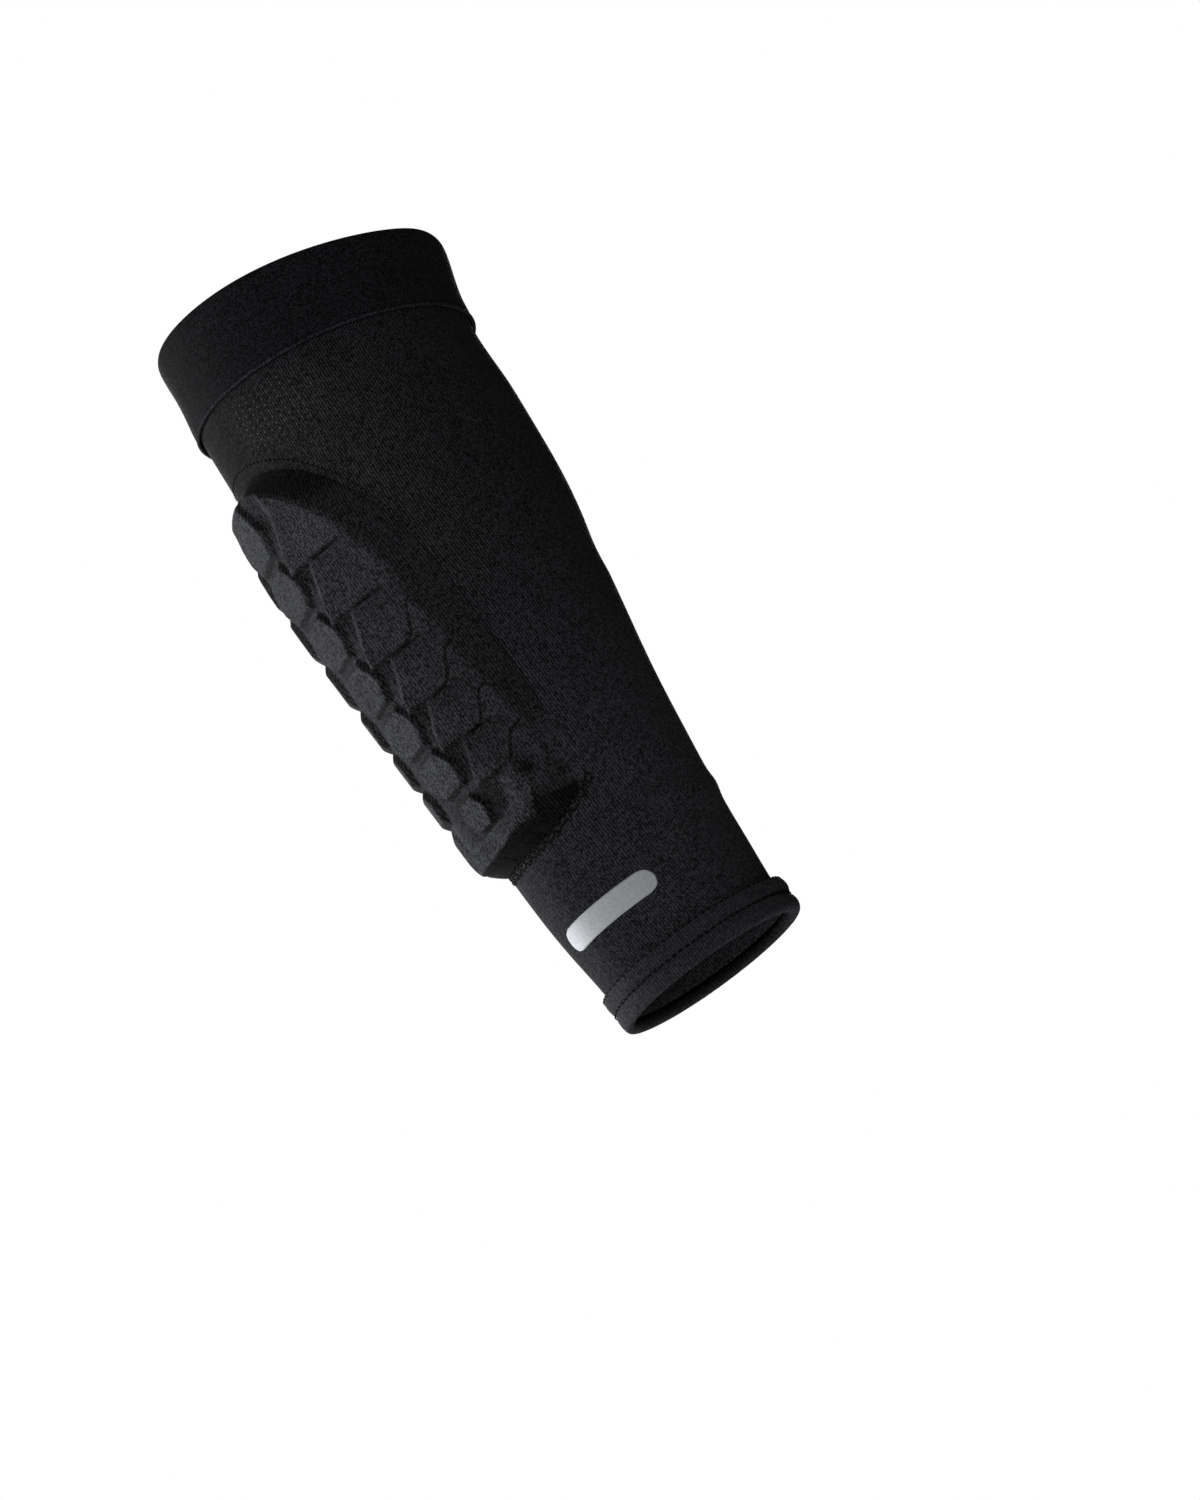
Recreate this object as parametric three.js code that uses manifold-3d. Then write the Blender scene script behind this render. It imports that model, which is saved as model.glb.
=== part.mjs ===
// A padded forearm sleeve, in the form that it has on the arm: a knitted tube with an elastic cuff
// at the elbow, a turned hem at the wrist, and a moulded foam pad with raised cells sewn to its front.
// Millimetres, +Z up along the forearm from the wrist to the elbow. The pad faces -Y.
// The origin is the middle of the wrist opening.
import * as THREE from 'three';
import { mergeVertices } from 'three/addons/utils/BufferGeometryUtils.js';
import Module from 'manifold-3d';

const wasm = await Module();
wasm.setup();

// Sleeve
const SLEEVE_LENGTH = 247;
const KNIT_WALL = 1.2;
const SEAM_GAP = 0.4; // between two pieces that are sewn together
// Slopes of the two end openings across the arm, because the forearm bows
const WRIST_SLOPE = { x: 0.03, y: 0.125 };
const ELBOW_SLOPE = { x: -0.065, y: -0.085 };
// The outside of the knit on the arm, from the wrist up: each row is one oval across the forearm.
const ARM_SECTIONS = [
  { height: 0, centreY: 5.0, halfX: 24.5, halfY: 31.2 },
  { height: 14, centreY: 3.5, halfX: 25.0, halfY: 32.0 },
  { height: 40, centreY: 1.0, halfX: 27.0, halfY: 34.5 },
  { height: 70, centreY: 0.0, halfX: 31.0, halfY: 36.3 },
  { height: 100, centreY: -0.5, halfX: 35.0, halfY: 38.6 },
  { height: 130, centreY: -0.5, halfX: 39.0, halfY: 41.8 },
  { height: 160, centreY: -0.5, halfX: 42.5, halfY: 44.8 },
  { height: 190, centreY: -1.0, halfX: 43.5, halfY: 45.4 },
  { height: 218, centreY: -1.8, halfX: 43.0, halfY: 45.6 },
  { height: SLEEVE_LENGTH, centreY: 1.0, halfX: 44.0, halfY: 47.0 },
];
const ROUND_SIDES = 56;
const ROW_STEP = 14; // height of the facets along the knit

// Elbow cuff: a folded elastic band that laps over the top edge of the knit
const CUFF_HEIGHT = 28;
const CUFF_LAP = 7;
const CUFF_PROUD = 1.6;
const CUFF_EDGE = 0.5; // how far its two edges are rounded

// Wrist hem: the edge turned up and sewn in two rows, which leaves two rolls with a groove between
const HEM_HEIGHT = 11.5;
const HEM_LAP = 7.5;
const HEM_ROLLS = 2;
const HEM_ROLL_PROUD = 2.4;
const HEM_GROOVE_PROUD = 1.4;
const HEM_ROLL_STEPS = 5;

// Pad: angles are round the arm from its front, in degrees, and heights are along the arm
const PAD_BOTTOM = 54.5;
const PAD_TOP = 196.5;
const PAD_HALF_ANGLE = 63;
const PAD_SQUARENESS = { top: 2.7, bottom: 4.6 }; // of its outline: 2 is an oval, more is squarer
const PAD_TWIST = { bottom: 6, top: -18 }; // the pad follows the edge of the forearm round
const PAD_FLANGE = 0.8; // thickness of the sewn edge
const PAD_FOAM = 5.2; // thickness under the cells
const FLANGE_SHARE = 0.04; // share of the pad that is sewn edge, from its outline inwards
const RAMP_SHARE = { ends: 0.08, sides: 0.6 }; // share that slopes up from there to full thickness
const PAD_SIDES = 56;
const PAD_RINGS = { flat: 6, ramp: 3, flange: 1 };

// Cells: raised hexagons in three staggered columns, which get smaller towards the wrist
const CELL_RISE = 2.0;
const CELL_ROOT = 2.2; // how far a cell goes down into the foam
const CELL_TOP_SHARE = 0.82; // a cell's top is this much of its foot
const CELL_HALF_ANGLE = 16;
const CELL_HEIGHT_SHARE = 0.94; // of the step from one row to the next
const CELLS_MIDDLE = 2; // where the middle column lies across the pad
const COLUMN_ANGLE = 31; // from the middle column to the one at each side
const FIRST_ROW = 181.5;
const FIRST_PITCH = 19.8;
const PITCH_SHRINK = 0.8;
const CELL_ROWS = 7;
const ROW_PLACE = { middle: 0.1, side: 0.5 }; // how far down its row a column's cell lies
const LAST_CELL = { share: 0.75, drift: 3 }; // the cell inside the bar is smaller and farther round

// End bar: a raised bar bent to a shallow U round the last cell; across is from the middle column, in degrees
const BAR_WIDTH = 9.6;
const BAR_RISE = 2.5;
const BAR_TOP_SHARE = 0.7;
const BAR_MM_PER_DEGREE = 0.72;
const BAR_STEPS = 16;
const BAR_LINE = [
  { across: 32.5, height: 72 },
  { across: 28.5, height: 68.8 },
  { across: 22, height: 66 },
  { across: 12, height: 63.4 },
];

const { clamp, degToRad, lerp } = THREE.MathUtils;

// The smooth value of one column of the section table at a height.
function sectionValue(column, height) {
  const rows = ARM_SECTIONS;
  const slope = (k) => {
    const below = rows[Math.max(k - 1, 0)];
    const above = rows[Math.min(k + 1, rows.length - 1)];
    return (above[column] - below[column]) / (above.height - below.height);
  };
  let k = 0;
  while (k < rows.length - 2 && height > rows[k + 1].height) k += 1;
  const span = rows[k + 1].height - rows[k].height;
  const rise = rows[k + 1][column] - rows[k][column];
  const t = (height - rows[k].height) / span;
  const start = slope(k) * span - rise;
  const end = rise - slope(k + 1) * span;
  return rows[k][column] + t * rise + t * (1 - t) * (start * (1 - t) + end * t);
}

// A point on the arm: the angle runs from the front towards +X, the offset out from the knit.
function armPoint(angle, height, offset) {
  const x = (sectionValue('halfX', height) + offset) * Math.sin(angle);
  const y = sectionValue('centreY', height) - (sectionValue('halfY', height) + offset) * Math.cos(angle);
  const share = height / SLEEVE_LENGTH;
  const slopeX = lerp(WRIST_SLOPE.x, ELBOW_SLOPE.x, share);
  const slopeY = lerp(WRIST_SLOPE.y, ELBOW_SLOPE.y, share);
  return new THREE.Vector3(x, y, height + slopeX * x + slopeY * y);
}

// The triangles of a geometry with shared corners, without those that have no area.
function weld(geometry) {
  geometry.deleteAttribute('normal');
  geometry.deleteAttribute('uv');
  const welded = mergeVertices(geometry);
  const corners = welded.index.array;
  const kept = [];
  for (let i = 0; i < corners.length; i += 3) {
    const [a, b, c] = corners.slice(i, i + 3);
    if (a !== b && b !== c && c !== a) kept.push(a, b, c);
  }
  welded.setIndex(kept);
  return welded;
}

// Bends a flat or turned geometry onto the arm: place gives each vertex its angle, height and offset.
function fitToArm(geometry, place) {
  const position = geometry.attributes.position;
  const vertex = new THREE.Vector3();
  for (let i = 0; i < position.count; i += 1) {
    vertex.fromBufferAttribute(position, i);
    const { angle, height, offset } = place(vertex);
    position.setXYZ(i, ...armPoint(angle, height, offset).toArray());
  }
  return weld(geometry);
}

// A ring round the arm from a closed outline of [offset, height] pairs, taken up its outside first.
function armRing(outline) {
  const hub = 100; // keeps the turned outline clear of its axis
  const closed = [...outline, outline[0]].map(([offset, height]) => new THREE.Vector2(hub + offset, height));
  return fitToArm(new THREE.LatheGeometry(closed, ROUND_SIDES), (v) => ({
    angle: Math.atan2(v.x, v.z),
    height: v.y,
    offset: Math.hypot(v.x, v.z) - hub,
  }));
}

function solid(geometry) {
  return new wasm.Manifold(new wasm.Mesh({
    numProp: 3,
    vertProperties: Float32Array.from(geometry.attributes.position.array),
    triVerts: Uint32Array.from(geometry.index.array),
  }));
}

function geometryOf(manifold) {
  const mesh = manifold.getMesh();
  const geometry = new THREE.BufferGeometry();
  geometry.setAttribute('position', new THREE.BufferAttribute(mesh.vertProperties, 3));
  geometry.setIndex(new THREE.BufferAttribute(mesh.triVerts, 1));
  return geometry;
}

function piece(name, geometry, color, roughness) {
  geometry.computeVertexNormals();
  const material = new THREE.MeshStandardMaterial({ color, roughness, metalness: 0 });
  const mesh = new THREE.Mesh(geometry, material);
  mesh.name = name;
  return mesh;
}

// Knitted tube, whose two ends lie inside the laps of the cuff and the hem
function sleeveBody() {
  const low = HEM_HEIGHT - HEM_LAP;
  const high = SLEEVE_LENGTH - CUFF_HEIGHT + CUFF_LAP;
  const rows = Math.round((high - low) / ROW_STEP);
  const heights = Array.from({ length: rows + 1 }, (_, k) => lerp(low, high, k / rows));
  const outside = heights.map((height) => [0, height]);
  const inside = heights.toReversed().map((height) => [-KNIT_WALL, height]);
  return armRing([...outside, ...inside]);
}

// Folded band with rounded edges, rebated inside for the top of the tube
function elbowCuff() {
  const low = SLEEVE_LENGTH - CUFF_HEIGHT;
  const shoulder = low + CUFF_LAP + SEAM_GAP;
  const middle = (shoulder + SLEEVE_LENGTH) / 2;
  return armRing([
    [CUFF_PROUD - CUFF_EDGE, low],
    [CUFF_PROUD, low + CUFF_EDGE],
    [CUFF_PROUD, shoulder],
    [CUFF_PROUD, middle],
    [CUFF_PROUD, SLEEVE_LENGTH - CUFF_EDGE],
    [CUFF_PROUD - CUFF_EDGE, SLEEVE_LENGTH],
    [CUFF_EDGE - KNIT_WALL, SLEEVE_LENGTH],
    [-KNIT_WALL, SLEEVE_LENGTH - CUFF_EDGE],
    [-KNIT_WALL, middle],
    [-KNIT_WALL, shoulder],
    [SEAM_GAP, shoulder],
    [SEAM_GAP, low],
  ]);
}

// Two rolls outside, rebated inside for the bottom of the tube
function wristHem() {
  const steps = HEM_ROLLS * HEM_ROLL_STEPS;
  const rolls = Array.from({ length: steps + 1 }, (_, k) => {
    const bulge = Math.abs(Math.sin(Math.PI * k / HEM_ROLL_STEPS));
    return [lerp(HEM_GROOVE_PROUD, HEM_ROLL_PROUD, bulge), HEM_HEIGHT * k / steps];
  });
  const shoulder = HEM_HEIGHT - HEM_LAP - SEAM_GAP;
  const inside = [[SEAM_GAP, HEM_HEIGHT], [SEAM_GAP, shoulder], [-KNIT_WALL, shoulder], [-KNIT_WALL, 0]];
  return armRing([...rolls, ...inside]);
}

const padMiddle = (PAD_BOTTOM + PAD_TOP) / 2;
const padHalfLength = (PAD_TOP - PAD_BOTTOM) / 2;

// Where a place on the pad lies round the arm.
function padAngle(across, height) {
  const share = (height - PAD_BOTTOM) / (PAD_TOP - PAD_BOTTOM);
  return degToRad(across + lerp(PAD_TWIST.bottom, PAD_TWIST.top, share));
}

// The length of a vector from the pad's middle, where its outline is 1.
function padReach(side, up) {
  const n = up > 0 ? PAD_SQUARENESS.top : PAD_SQUARENESS.bottom;
  return (Math.abs(side) ** n + Math.abs(up) ** n) ** (1 / n);
}

// The share of the pad that slopes in a direction from its middle.
function rampShare(side, up) {
  const sidewards = side === 0 ? 0 : side ** 2 / (side ** 2 + up ** 2);
  return lerp(RAMP_SHARE.ends, RAMP_SHARE.sides, sidewards ** 2);
}

// The foam's thickness without its cells.
function foamHeight(across, height) {
  const side = across / PAD_HALF_ANGLE;
  const up = (height - padMiddle) / padHalfLength;
  const upRamp = clamp((1 - FLANGE_SHARE - padReach(side, up)) / rampShare(side, up), 0, 1);
  return lerp(PAD_FLANGE, PAD_FOAM, Math.sin(upRamp * Math.PI / 2));
}

// The foam: a disc of rings with an under and an upper side, stretched to the pad's outline.
// The rings count out from the middle, over the flat part, the slope and the sewn edge.
function padFoam() {
  const rings = PAD_RINGS.flat + PAD_RINGS.ramp + PAD_RINGS.flange;
  const under = Array.from({ length: rings + 1 }, (_, k) => new THREE.Vector2(k, 0));
  const over = Array.from({ length: rings + 1 }, (_, k) => new THREE.Vector2(rings - k, 1));
  return fitToArm(new THREE.LatheGeometry([...under, ...over], PAD_SIDES), (v) => {
    const ring = Math.hypot(v.x, v.z);
    const side = ring > 0 ? -v.x / ring : 0;
    const up = ring > 0 ? v.z / ring : 0;
    const ramp = rampShare(side, up);
    const flatShare = 1 - FLANGE_SHARE - ramp;
    const rampRing = Math.max(ring - PAD_RINGS.flat, 0);
    const flangeRing = Math.max(rampRing - PAD_RINGS.ramp, 0);
    const share = flatShare * Math.min(ring / PAD_RINGS.flat, 1)
      + ramp * Math.min(rampRing / PAD_RINGS.ramp, 1)
      + FLANGE_SHARE * flangeRing / PAD_RINGS.flange;
    const stretch = ring > 0 ? share / padReach(side, up) : 0;
    const across = side * stretch * PAD_HALF_ANGLE;
    const height = padMiddle + up * stretch * padHalfLength;
    const thickness = v.y > 0 ? foamHeight(across, height) : 0;
    return { angle: padAngle(across, height), height, offset: SEAM_GAP + thickness };
  });
}

// Lays a block on the foam: its foot goes down into the foam and its top stands out by the rise.
function layOnFoam(across, height, isTop, rise) {
  const thickness = foamHeight(across, height) + (isTop ? rise : -CELL_ROOT);
  return { angle: padAngle(across, height), height, offset: SEAM_GAP + Math.max(thickness, PAD_FLANGE / 2) };
}

// One cell: a six-sided block with a corner to each side and a top that is smaller than its foot
function padCell({ across, height, halfAngle, halfHeight }) {
  const flatToCorner = Math.cos(Math.PI / 6);
  const block = new THREE.CylinderGeometry(CELL_TOP_SHARE, 1, 1, 6);
  block.rotateY(Math.PI / 6);
  return fitToArm(block, (v) => (
    layOnFoam(across - v.x * halfAngle, height + v.z * halfHeight / flatToCorner, v.y > 0, CELL_RISE)
  ));
}

// The height of a place counted in rows, whose steps shrink towards the wrist.
function rowHeight(row) {
  return FIRST_ROW - row * (FIRST_PITCH - PITCH_SHRINK * (row - 1) / 2);
}

// The places of all the cells: a middle column, and one to each side that lies lower and has one cell less.
function cellPlaces() {
  return Array.from({ length: CELL_ROWS }, (_, k) => {
    const isLast = k === CELL_ROWS - 1;
    const share = isLast ? LAST_CELL.share : 1;
    const pitch = FIRST_PITCH - PITCH_SHRINK * k;
    const size = { halfAngle: CELL_HALF_ANGLE * share, halfHeight: pitch / 2 * CELL_HEIGHT_SHARE * share };
    const drift = isLast ? LAST_CELL.drift : 0;
    const middle = { ...size, across: CELLS_MIDDLE + drift, height: rowHeight(k + ROW_PLACE.middle) };
    if (isLast) return [middle];
    const atSide = (side) => (
      { ...size, across: CELLS_MIDDLE + side * COLUMN_ANGLE, height: rowHeight(k + ROW_PLACE.side) }
    );
    return [middle, atSide(-1), atSide(1)];
  }).flat();
}

// The bar: a long block with a narrower top, bent along its U
function endBar() {
  const half = BAR_LINE.map(({ across, height }) => new THREE.Vector2(across * BAR_MM_PER_DEGREE, height));
  const mirrored = half.map(({ x, y }) => new THREE.Vector2(-x, y));
  const line = new THREE.SplineCurve([...mirrored, ...half.toReversed()]);
  const block = new THREE.BoxGeometry(1, BAR_WIDTH, 1, BAR_STEPS, 1, 1);
  return fitToArm(block, (v) => {
    const along = line.getPoint(v.x + 0.5);
    const tangent = line.getTangent(v.x + 0.5);
    const isTop = v.z > 0;
    const sideways = v.y * (isTop ? BAR_TOP_SHARE : 1);
    const across = CELLS_MIDDLE + (along.x - tangent.y * sideways) / BAR_MM_PER_DEGREE;
    return layOnFoam(across, along.y + tangent.x * sideways, isTop, BAR_RISE);
  });
}

function forearmPad() {
  const blocks = [...cellPlaces().map(padCell), endBar()];
  return geometryOf(blocks.reduce((pad, block) => pad.add(solid(block)), solid(padFoam())));
}

const sleeve = new THREE.Group();
sleeve.name = 'padded_forearm_sleeve';
sleeve.add(piece('sleeve_body', sleeveBody(), 0x17181a, 0.8));
sleeve.add(piece('elbow_cuff', elbowCuff(), 0x101113, 0.85));
sleeve.add(piece('wrist_hem', wristHem(), 0x17181a, 0.8));
sleeve.add(piece('forearm_pad', forearmPad(), 0x1b1c1f, 0.75));

export default sleeve;
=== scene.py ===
"""The looks of a padded forearm sleeve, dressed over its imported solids: the knitted tube, the elastic cuff,
the wrist hem, the foam pad with its raised cells, the sewing and a plain mark.
Metres, +Z along the sleeve from the wrist to the elbow. The pad faces -Y.
"""

import bpy
import numpy as np
from mathutils import Matrix


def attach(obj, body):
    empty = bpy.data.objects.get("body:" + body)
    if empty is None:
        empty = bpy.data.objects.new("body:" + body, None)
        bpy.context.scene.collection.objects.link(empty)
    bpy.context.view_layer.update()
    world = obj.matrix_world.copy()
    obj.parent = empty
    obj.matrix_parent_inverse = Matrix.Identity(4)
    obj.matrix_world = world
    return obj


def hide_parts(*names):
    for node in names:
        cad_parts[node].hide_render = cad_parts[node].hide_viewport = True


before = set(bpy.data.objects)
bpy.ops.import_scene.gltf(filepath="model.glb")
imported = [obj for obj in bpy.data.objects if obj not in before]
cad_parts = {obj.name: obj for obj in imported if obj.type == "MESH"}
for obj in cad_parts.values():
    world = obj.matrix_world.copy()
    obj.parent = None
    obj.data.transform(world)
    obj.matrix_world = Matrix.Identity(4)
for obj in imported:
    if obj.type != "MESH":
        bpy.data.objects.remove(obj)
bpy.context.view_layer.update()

# Sleeve body
# A tube of thin stretch knit, oval in section, that tapers to the wrist. It is cut flat, with its ribs along
# its length, and closed by one seam behind. In wear it is stretched almost smooth.
MM = 0.001
SLEEVE_LENGTH = 247 * MM
KNIT_WALL = 1.2 * MM
KNIT_LOW, KNIT_HIGH = 4 * MM, 226 * MM
KNIT_COLUMNS, KNIT_ROWS, INSIDE_ROWS = 320, 230, 30
# Slopes of the two openings, in x and y, because the sleeve bows
WRIST_SLOPE = np.array([0.03, 0.125])
ELBOW_SLOPE = np.array([-0.065, -0.085])
# One oval a row, from the wrist up, in millimetres: height, middle in y, half its breadth in x and in y
SLEEVE_SECTIONS = MM * np.array([
    [0, 5.0, 24.5, 31.2],
    [14, 3.5, 25.0, 32.0],
    [40, 1.0, 27.0, 34.5],
    [70, 0.0, 31.0, 36.3],
    [100, -0.5, 35.0, 38.6],
    [130, -0.5, 39.0, 41.8],
    [160, -0.5, 42.5, 44.8],
    [190, -1.0, 43.5, 45.4],
    [218, -1.8, 43.0, 45.6],
    [247, 1.0, 44.0, 47.0],
])
# Soft folds where the knit slackens, in degrees round the sleeve and millimetres along it:
# the two ends of each fold, how far it stands out, and how broad it is
SLACK_FOLDS = [
    (88, 41, 168, 50, 1.2, 3.8),
    (70, 50, 150, 57, -1.0, 2.9),
    (30, 45, 84, 43, 0.35, 3.0),
    (140, 118, 118, 132, -1.0, 16.0),
    (200, 40, 250, 33, 0.7, 4.0),
    (190, 58, 262, 52, 0.5, 5.0),
]
FOLD_RADIUS = 32.0
# How uneven the stretched knit is, in millimetres, in broad waves and in fine ones
BROAD_UNEVENNESS, FINE_UNEVENNESS = 0.22, 0.12
# Beside the hem and the cuff the knit lies smooth: where it comes free of each, and over how much length
FREE_LOW, FREE_LOW_RUN = 12 * MM, 15 * MM
FREE_HIGH, FREE_HIGH_RUN = 214 * MM, 25 * MM
KNIT_BLACK = (0.0257, 0.0266, 0.0298, 1)
# Its tone where it is stretched thinnest, at its thick end: warmer, and lighter with a painted sheen down the
# tube
THIN_KNIT_SHEEN_BLACK = (0.0375, 0.0345, 0.0355, 1)
RIB_WIDTH = 0.88 * MM
LOOP_HEIGHT = 0.5 * MM
# Tiny open loops in staggered columns, in a patch below the cuff
EYELET_ACROSS, EYELET_ALONG, EYELET_RADIUS = 2.64 * MM, 2.1 * MM, 0.38 * MM
EYELET_GREY = (0.1, 0.095, 0.09, 1)
EYELET_SHARE = 0.65
# Patches of the knit, along the sleeve and round from its front line: where each starts, is full, fades
# and ends
EYELETS_ALONG, EYELETS_ROUND = MM * np.array([[192, 202, 213, 219], [4, 14, 28, 46]])
# The thin patch is a warm tint with a painted sheen, lighter down the middle of the tube
THIN_SHEEN_ALONG, THIN_SHEEN_ROUND = MM * np.array([[120, 175, 205, 217], [2, 26, 38, 66]])
# How far the ribs are drawn apart up the sleeve and over its front edge, and where that happens
STRETCH_UPWARDS, STRETCH_OVER_FRONT = 0.48, 0.36
STRETCH_STARTS, STRETCH_FULL = 50 * MM, 160 * MM
FRONT_EDGE, FRONT_FULL, FRONT_ENDS = -10 * MM, 12 * MM, 45 * MM


def sleeve_section(height):
    """The middle in y and the two half breadths of the oval at a height, smooth through the table."""
    knots, values = SLEEVE_SECTIONS[:, 0], SLEEVE_SECTIONS[:, 1:]
    place = np.arange(len(knots))
    below, above = np.maximum(place - 1, 0), np.minimum(place + 1, len(knots) - 1)
    slopes = (values[above] - values[below]) / (knots[above] - knots[below])[:, None]
    k = np.clip(np.searchsorted(knots, height, side="right") - 1, 0, len(knots) - 2)
    span = (knots[k + 1] - knots[k])[..., None]
    rise = values[k + 1] - values[k]
    t = (height - knots[k])[..., None] / span
    start = slopes[k] * span - rise
    end = rise - slopes[k + 1] * span
    return values[k] + t * rise + t * (1 - t) * (start * (1 - t) + end * t)


def tilt(x, y, height):
    """How far a place on a level section moves along the sleeve, because the two openings slope."""
    slope = WRIST_SLOPE + (ELBOW_SLOPE - WRIST_SLOPE) * (height / SLEEVE_LENGTH)[..., None]
    return slope[..., 0] * x + slope[..., 1] * y


def sleeve_out(angle, height):
    """The way out of the knit at a place on the sleeve, as a step of one metre of offset."""
    angle, height = np.broadcast_arrays(angle, height)
    x, y = np.sin(angle), -np.cos(angle)
    return np.stack([x, y, tilt(x, y, height)], -1)


def sleeve_point(angle, height, offset):
    """A point on the sleeve: the angle runs from the front towards +X, and the offset out from the knit."""
    angle, height, offset = np.broadcast_arrays(angle, height, offset)
    middle, half_x, half_y = np.moveaxis(sleeve_section(height), -1, 0)
    x = half_x * np.sin(angle)
    y = middle - half_y * np.cos(angle)
    base = np.stack([x, y, height + tilt(x, y, height)], -1)
    return base + sleeve_out(angle, height) * offset[..., None]


def knit_place(angle, height):
    """Where a place on the sleeve lies on the flat knit: metres round from its front line, and along it."""
    angle, height = np.broadcast_arrays(angle, height)
    return np.stack([angle * sleeve_section(height)[..., 1:].mean(-1), height], -1)


def hump(place, middle, breadth):
    """A smooth hump of height 1, by its middle and how broad it is."""
    return np.exp(-(((place - middle) / breadth) ** 2))


def knit_slack(angle, height):
    """How far the knit stands off the plain oval: its slight unevenness and the slack folds."""
    stand = BROAD_UNEVENNESS * np.sin(2 * angle + 31 * height + 0.6) * np.sin(47 * height + 1.1)
    fine = np.sin(5 * angle - 83 * height) * np.sin(3 * angle + 61 * height + 2.0)
    stand = stand + FINE_UNEVENNESS * fine
    for start_angle, start_height, end_angle, end_height, rise, breadth in SLACK_FOLDS:
        turn = (angle - np.radians(start_angle)) % (2 * np.pi)
        turn = np.where(turn > 1.5 * np.pi, turn - 2 * np.pi, turn)
        run_x, run_y = np.radians(end_angle - start_angle) * FOLD_RADIUS, end_height - start_height
        length = np.hypot(run_x, run_y)
        to_x, to_y = turn * FOLD_RADIUS, height / MM - start_height
        along = (to_x * run_x + to_y * run_y) / length**2
        aside = (to_x * run_y - to_y * run_x) / length
        fade = np.sin(np.pi * np.clip(along, 0, 1)) ** 1.5
        stand = stand + rise * fade * hump(aside, 0, breadth)
    free_low = np.clip((height - FREE_LOW) / FREE_LOW_RUN, 0, 1)
    free_high = np.clip((FREE_HIGH - height) / FREE_HIGH_RUN, 0, 1)
    return stand * free_low * free_high * MM


class Field:
    """A number that a node tree works out, so that its nodes can be written as arithmetic."""

    def __init__(self, tree, socket):
        self.tree = tree
        self.socket = socket

    def math(self, operation, *others):
        node = add_node(self.tree, "ShaderNodeMath", dict(enumerate((self, *others))), operation=operation)
        return Field(self.tree, node.outputs[0])

    def __add__(self, other):
        return self.math("ADD", other)

    def __sub__(self, other):
        return self.math("SUBTRACT", other)

    def __rsub__(self, other):
        return (self - other) * -1.0

    def __mul__(self, other):
        return self.math("MULTIPLY", other)

    def __truediv__(self, other):
        return self.math("DIVIDE", other)

    def __pow__(self, other):
        return self.math("POWER", other)

    def __abs__(self):
        return self.math("ABSOLUTE")

    __radd__ = __add__
    __rmul__ = __mul__

    def nearest(self, low, high):
        """The nearest whole number from low to high."""
        return self.math("ROUND").math("MAXIMUM", low).math("MINIMUM", high)

    def ramp(self, start, end, smooth=True):
        """From 0 at start to 1 at end."""
        kind = "SMOOTHSTEP" if smooth else "LINEAR"
        inputs = {"Value": self, "From Min": start, "From Max": end}
        node = add_node(self.tree, "ShaderNodeMapRange", inputs, interpolation_type=kind, clamp=True)
        return Field(self.tree, node.outputs["Result"])

    def band(self, start, full, fades, end):
        """From 0 at start to 1 at full, and from 1 where it fades to 0 at its end."""
        return self.ramp(start, full) * (1 - self.ramp(fades, end))


def add_node(tree, kind, inputs=None, **settings):
    """Adds a node, sets its options, and links its inputs or sets their values."""
    node = tree.nodes.new(kind)
    for name, value in settings.items():
        setattr(node, name, value)
    for key, value in (inputs or {}).items():
        value = value.socket if isinstance(value, Field) else value
        if isinstance(value, bpy.types.NodeSocket):
            tree.links.new(value, node.inputs[key])
        else:
            node.inputs[key].default_value = value
    return node


def new_group(name, kind, inputs, outputs):
    """A node group: each input is a number with its default, or the kind of thing that goes in there.
    It comes with its inputs by name, and its output node."""
    tree = bpy.data.node_groups.new(name, kind)
    for label, value in inputs.items():
        sort = value if isinstance(value, str) else "Float"
        socket = tree.interface.new_socket(label, in_out="INPUT", socket_type="NodeSocket" + sort)
        if sort == "Float":
            socket.default_value = value
    for label, sort in outputs.items():
        tree.interface.new_socket(label, in_out="OUTPUT", socket_type="NodeSocket" + sort)
    group_in = tree.nodes.new("NodeGroupInput")
    given = {label: Field(tree, group_in.outputs[label]) for label in inputs}
    return tree, given, tree.nodes.new("NodeGroupOutput")


def cloth_fields(tree):
    """The place on the flat cloth, in metres round the sleeve and along it."""
    uv = add_node(tree, "ShaderNodeUVMap", uv_map="cloth")
    parts = add_node(tree, "ShaderNodeSeparateXYZ", {0: uv.outputs[0]})
    return Field(tree, parts.outputs["X"]), Field(tree, parts.outputs["Y"])


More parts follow.
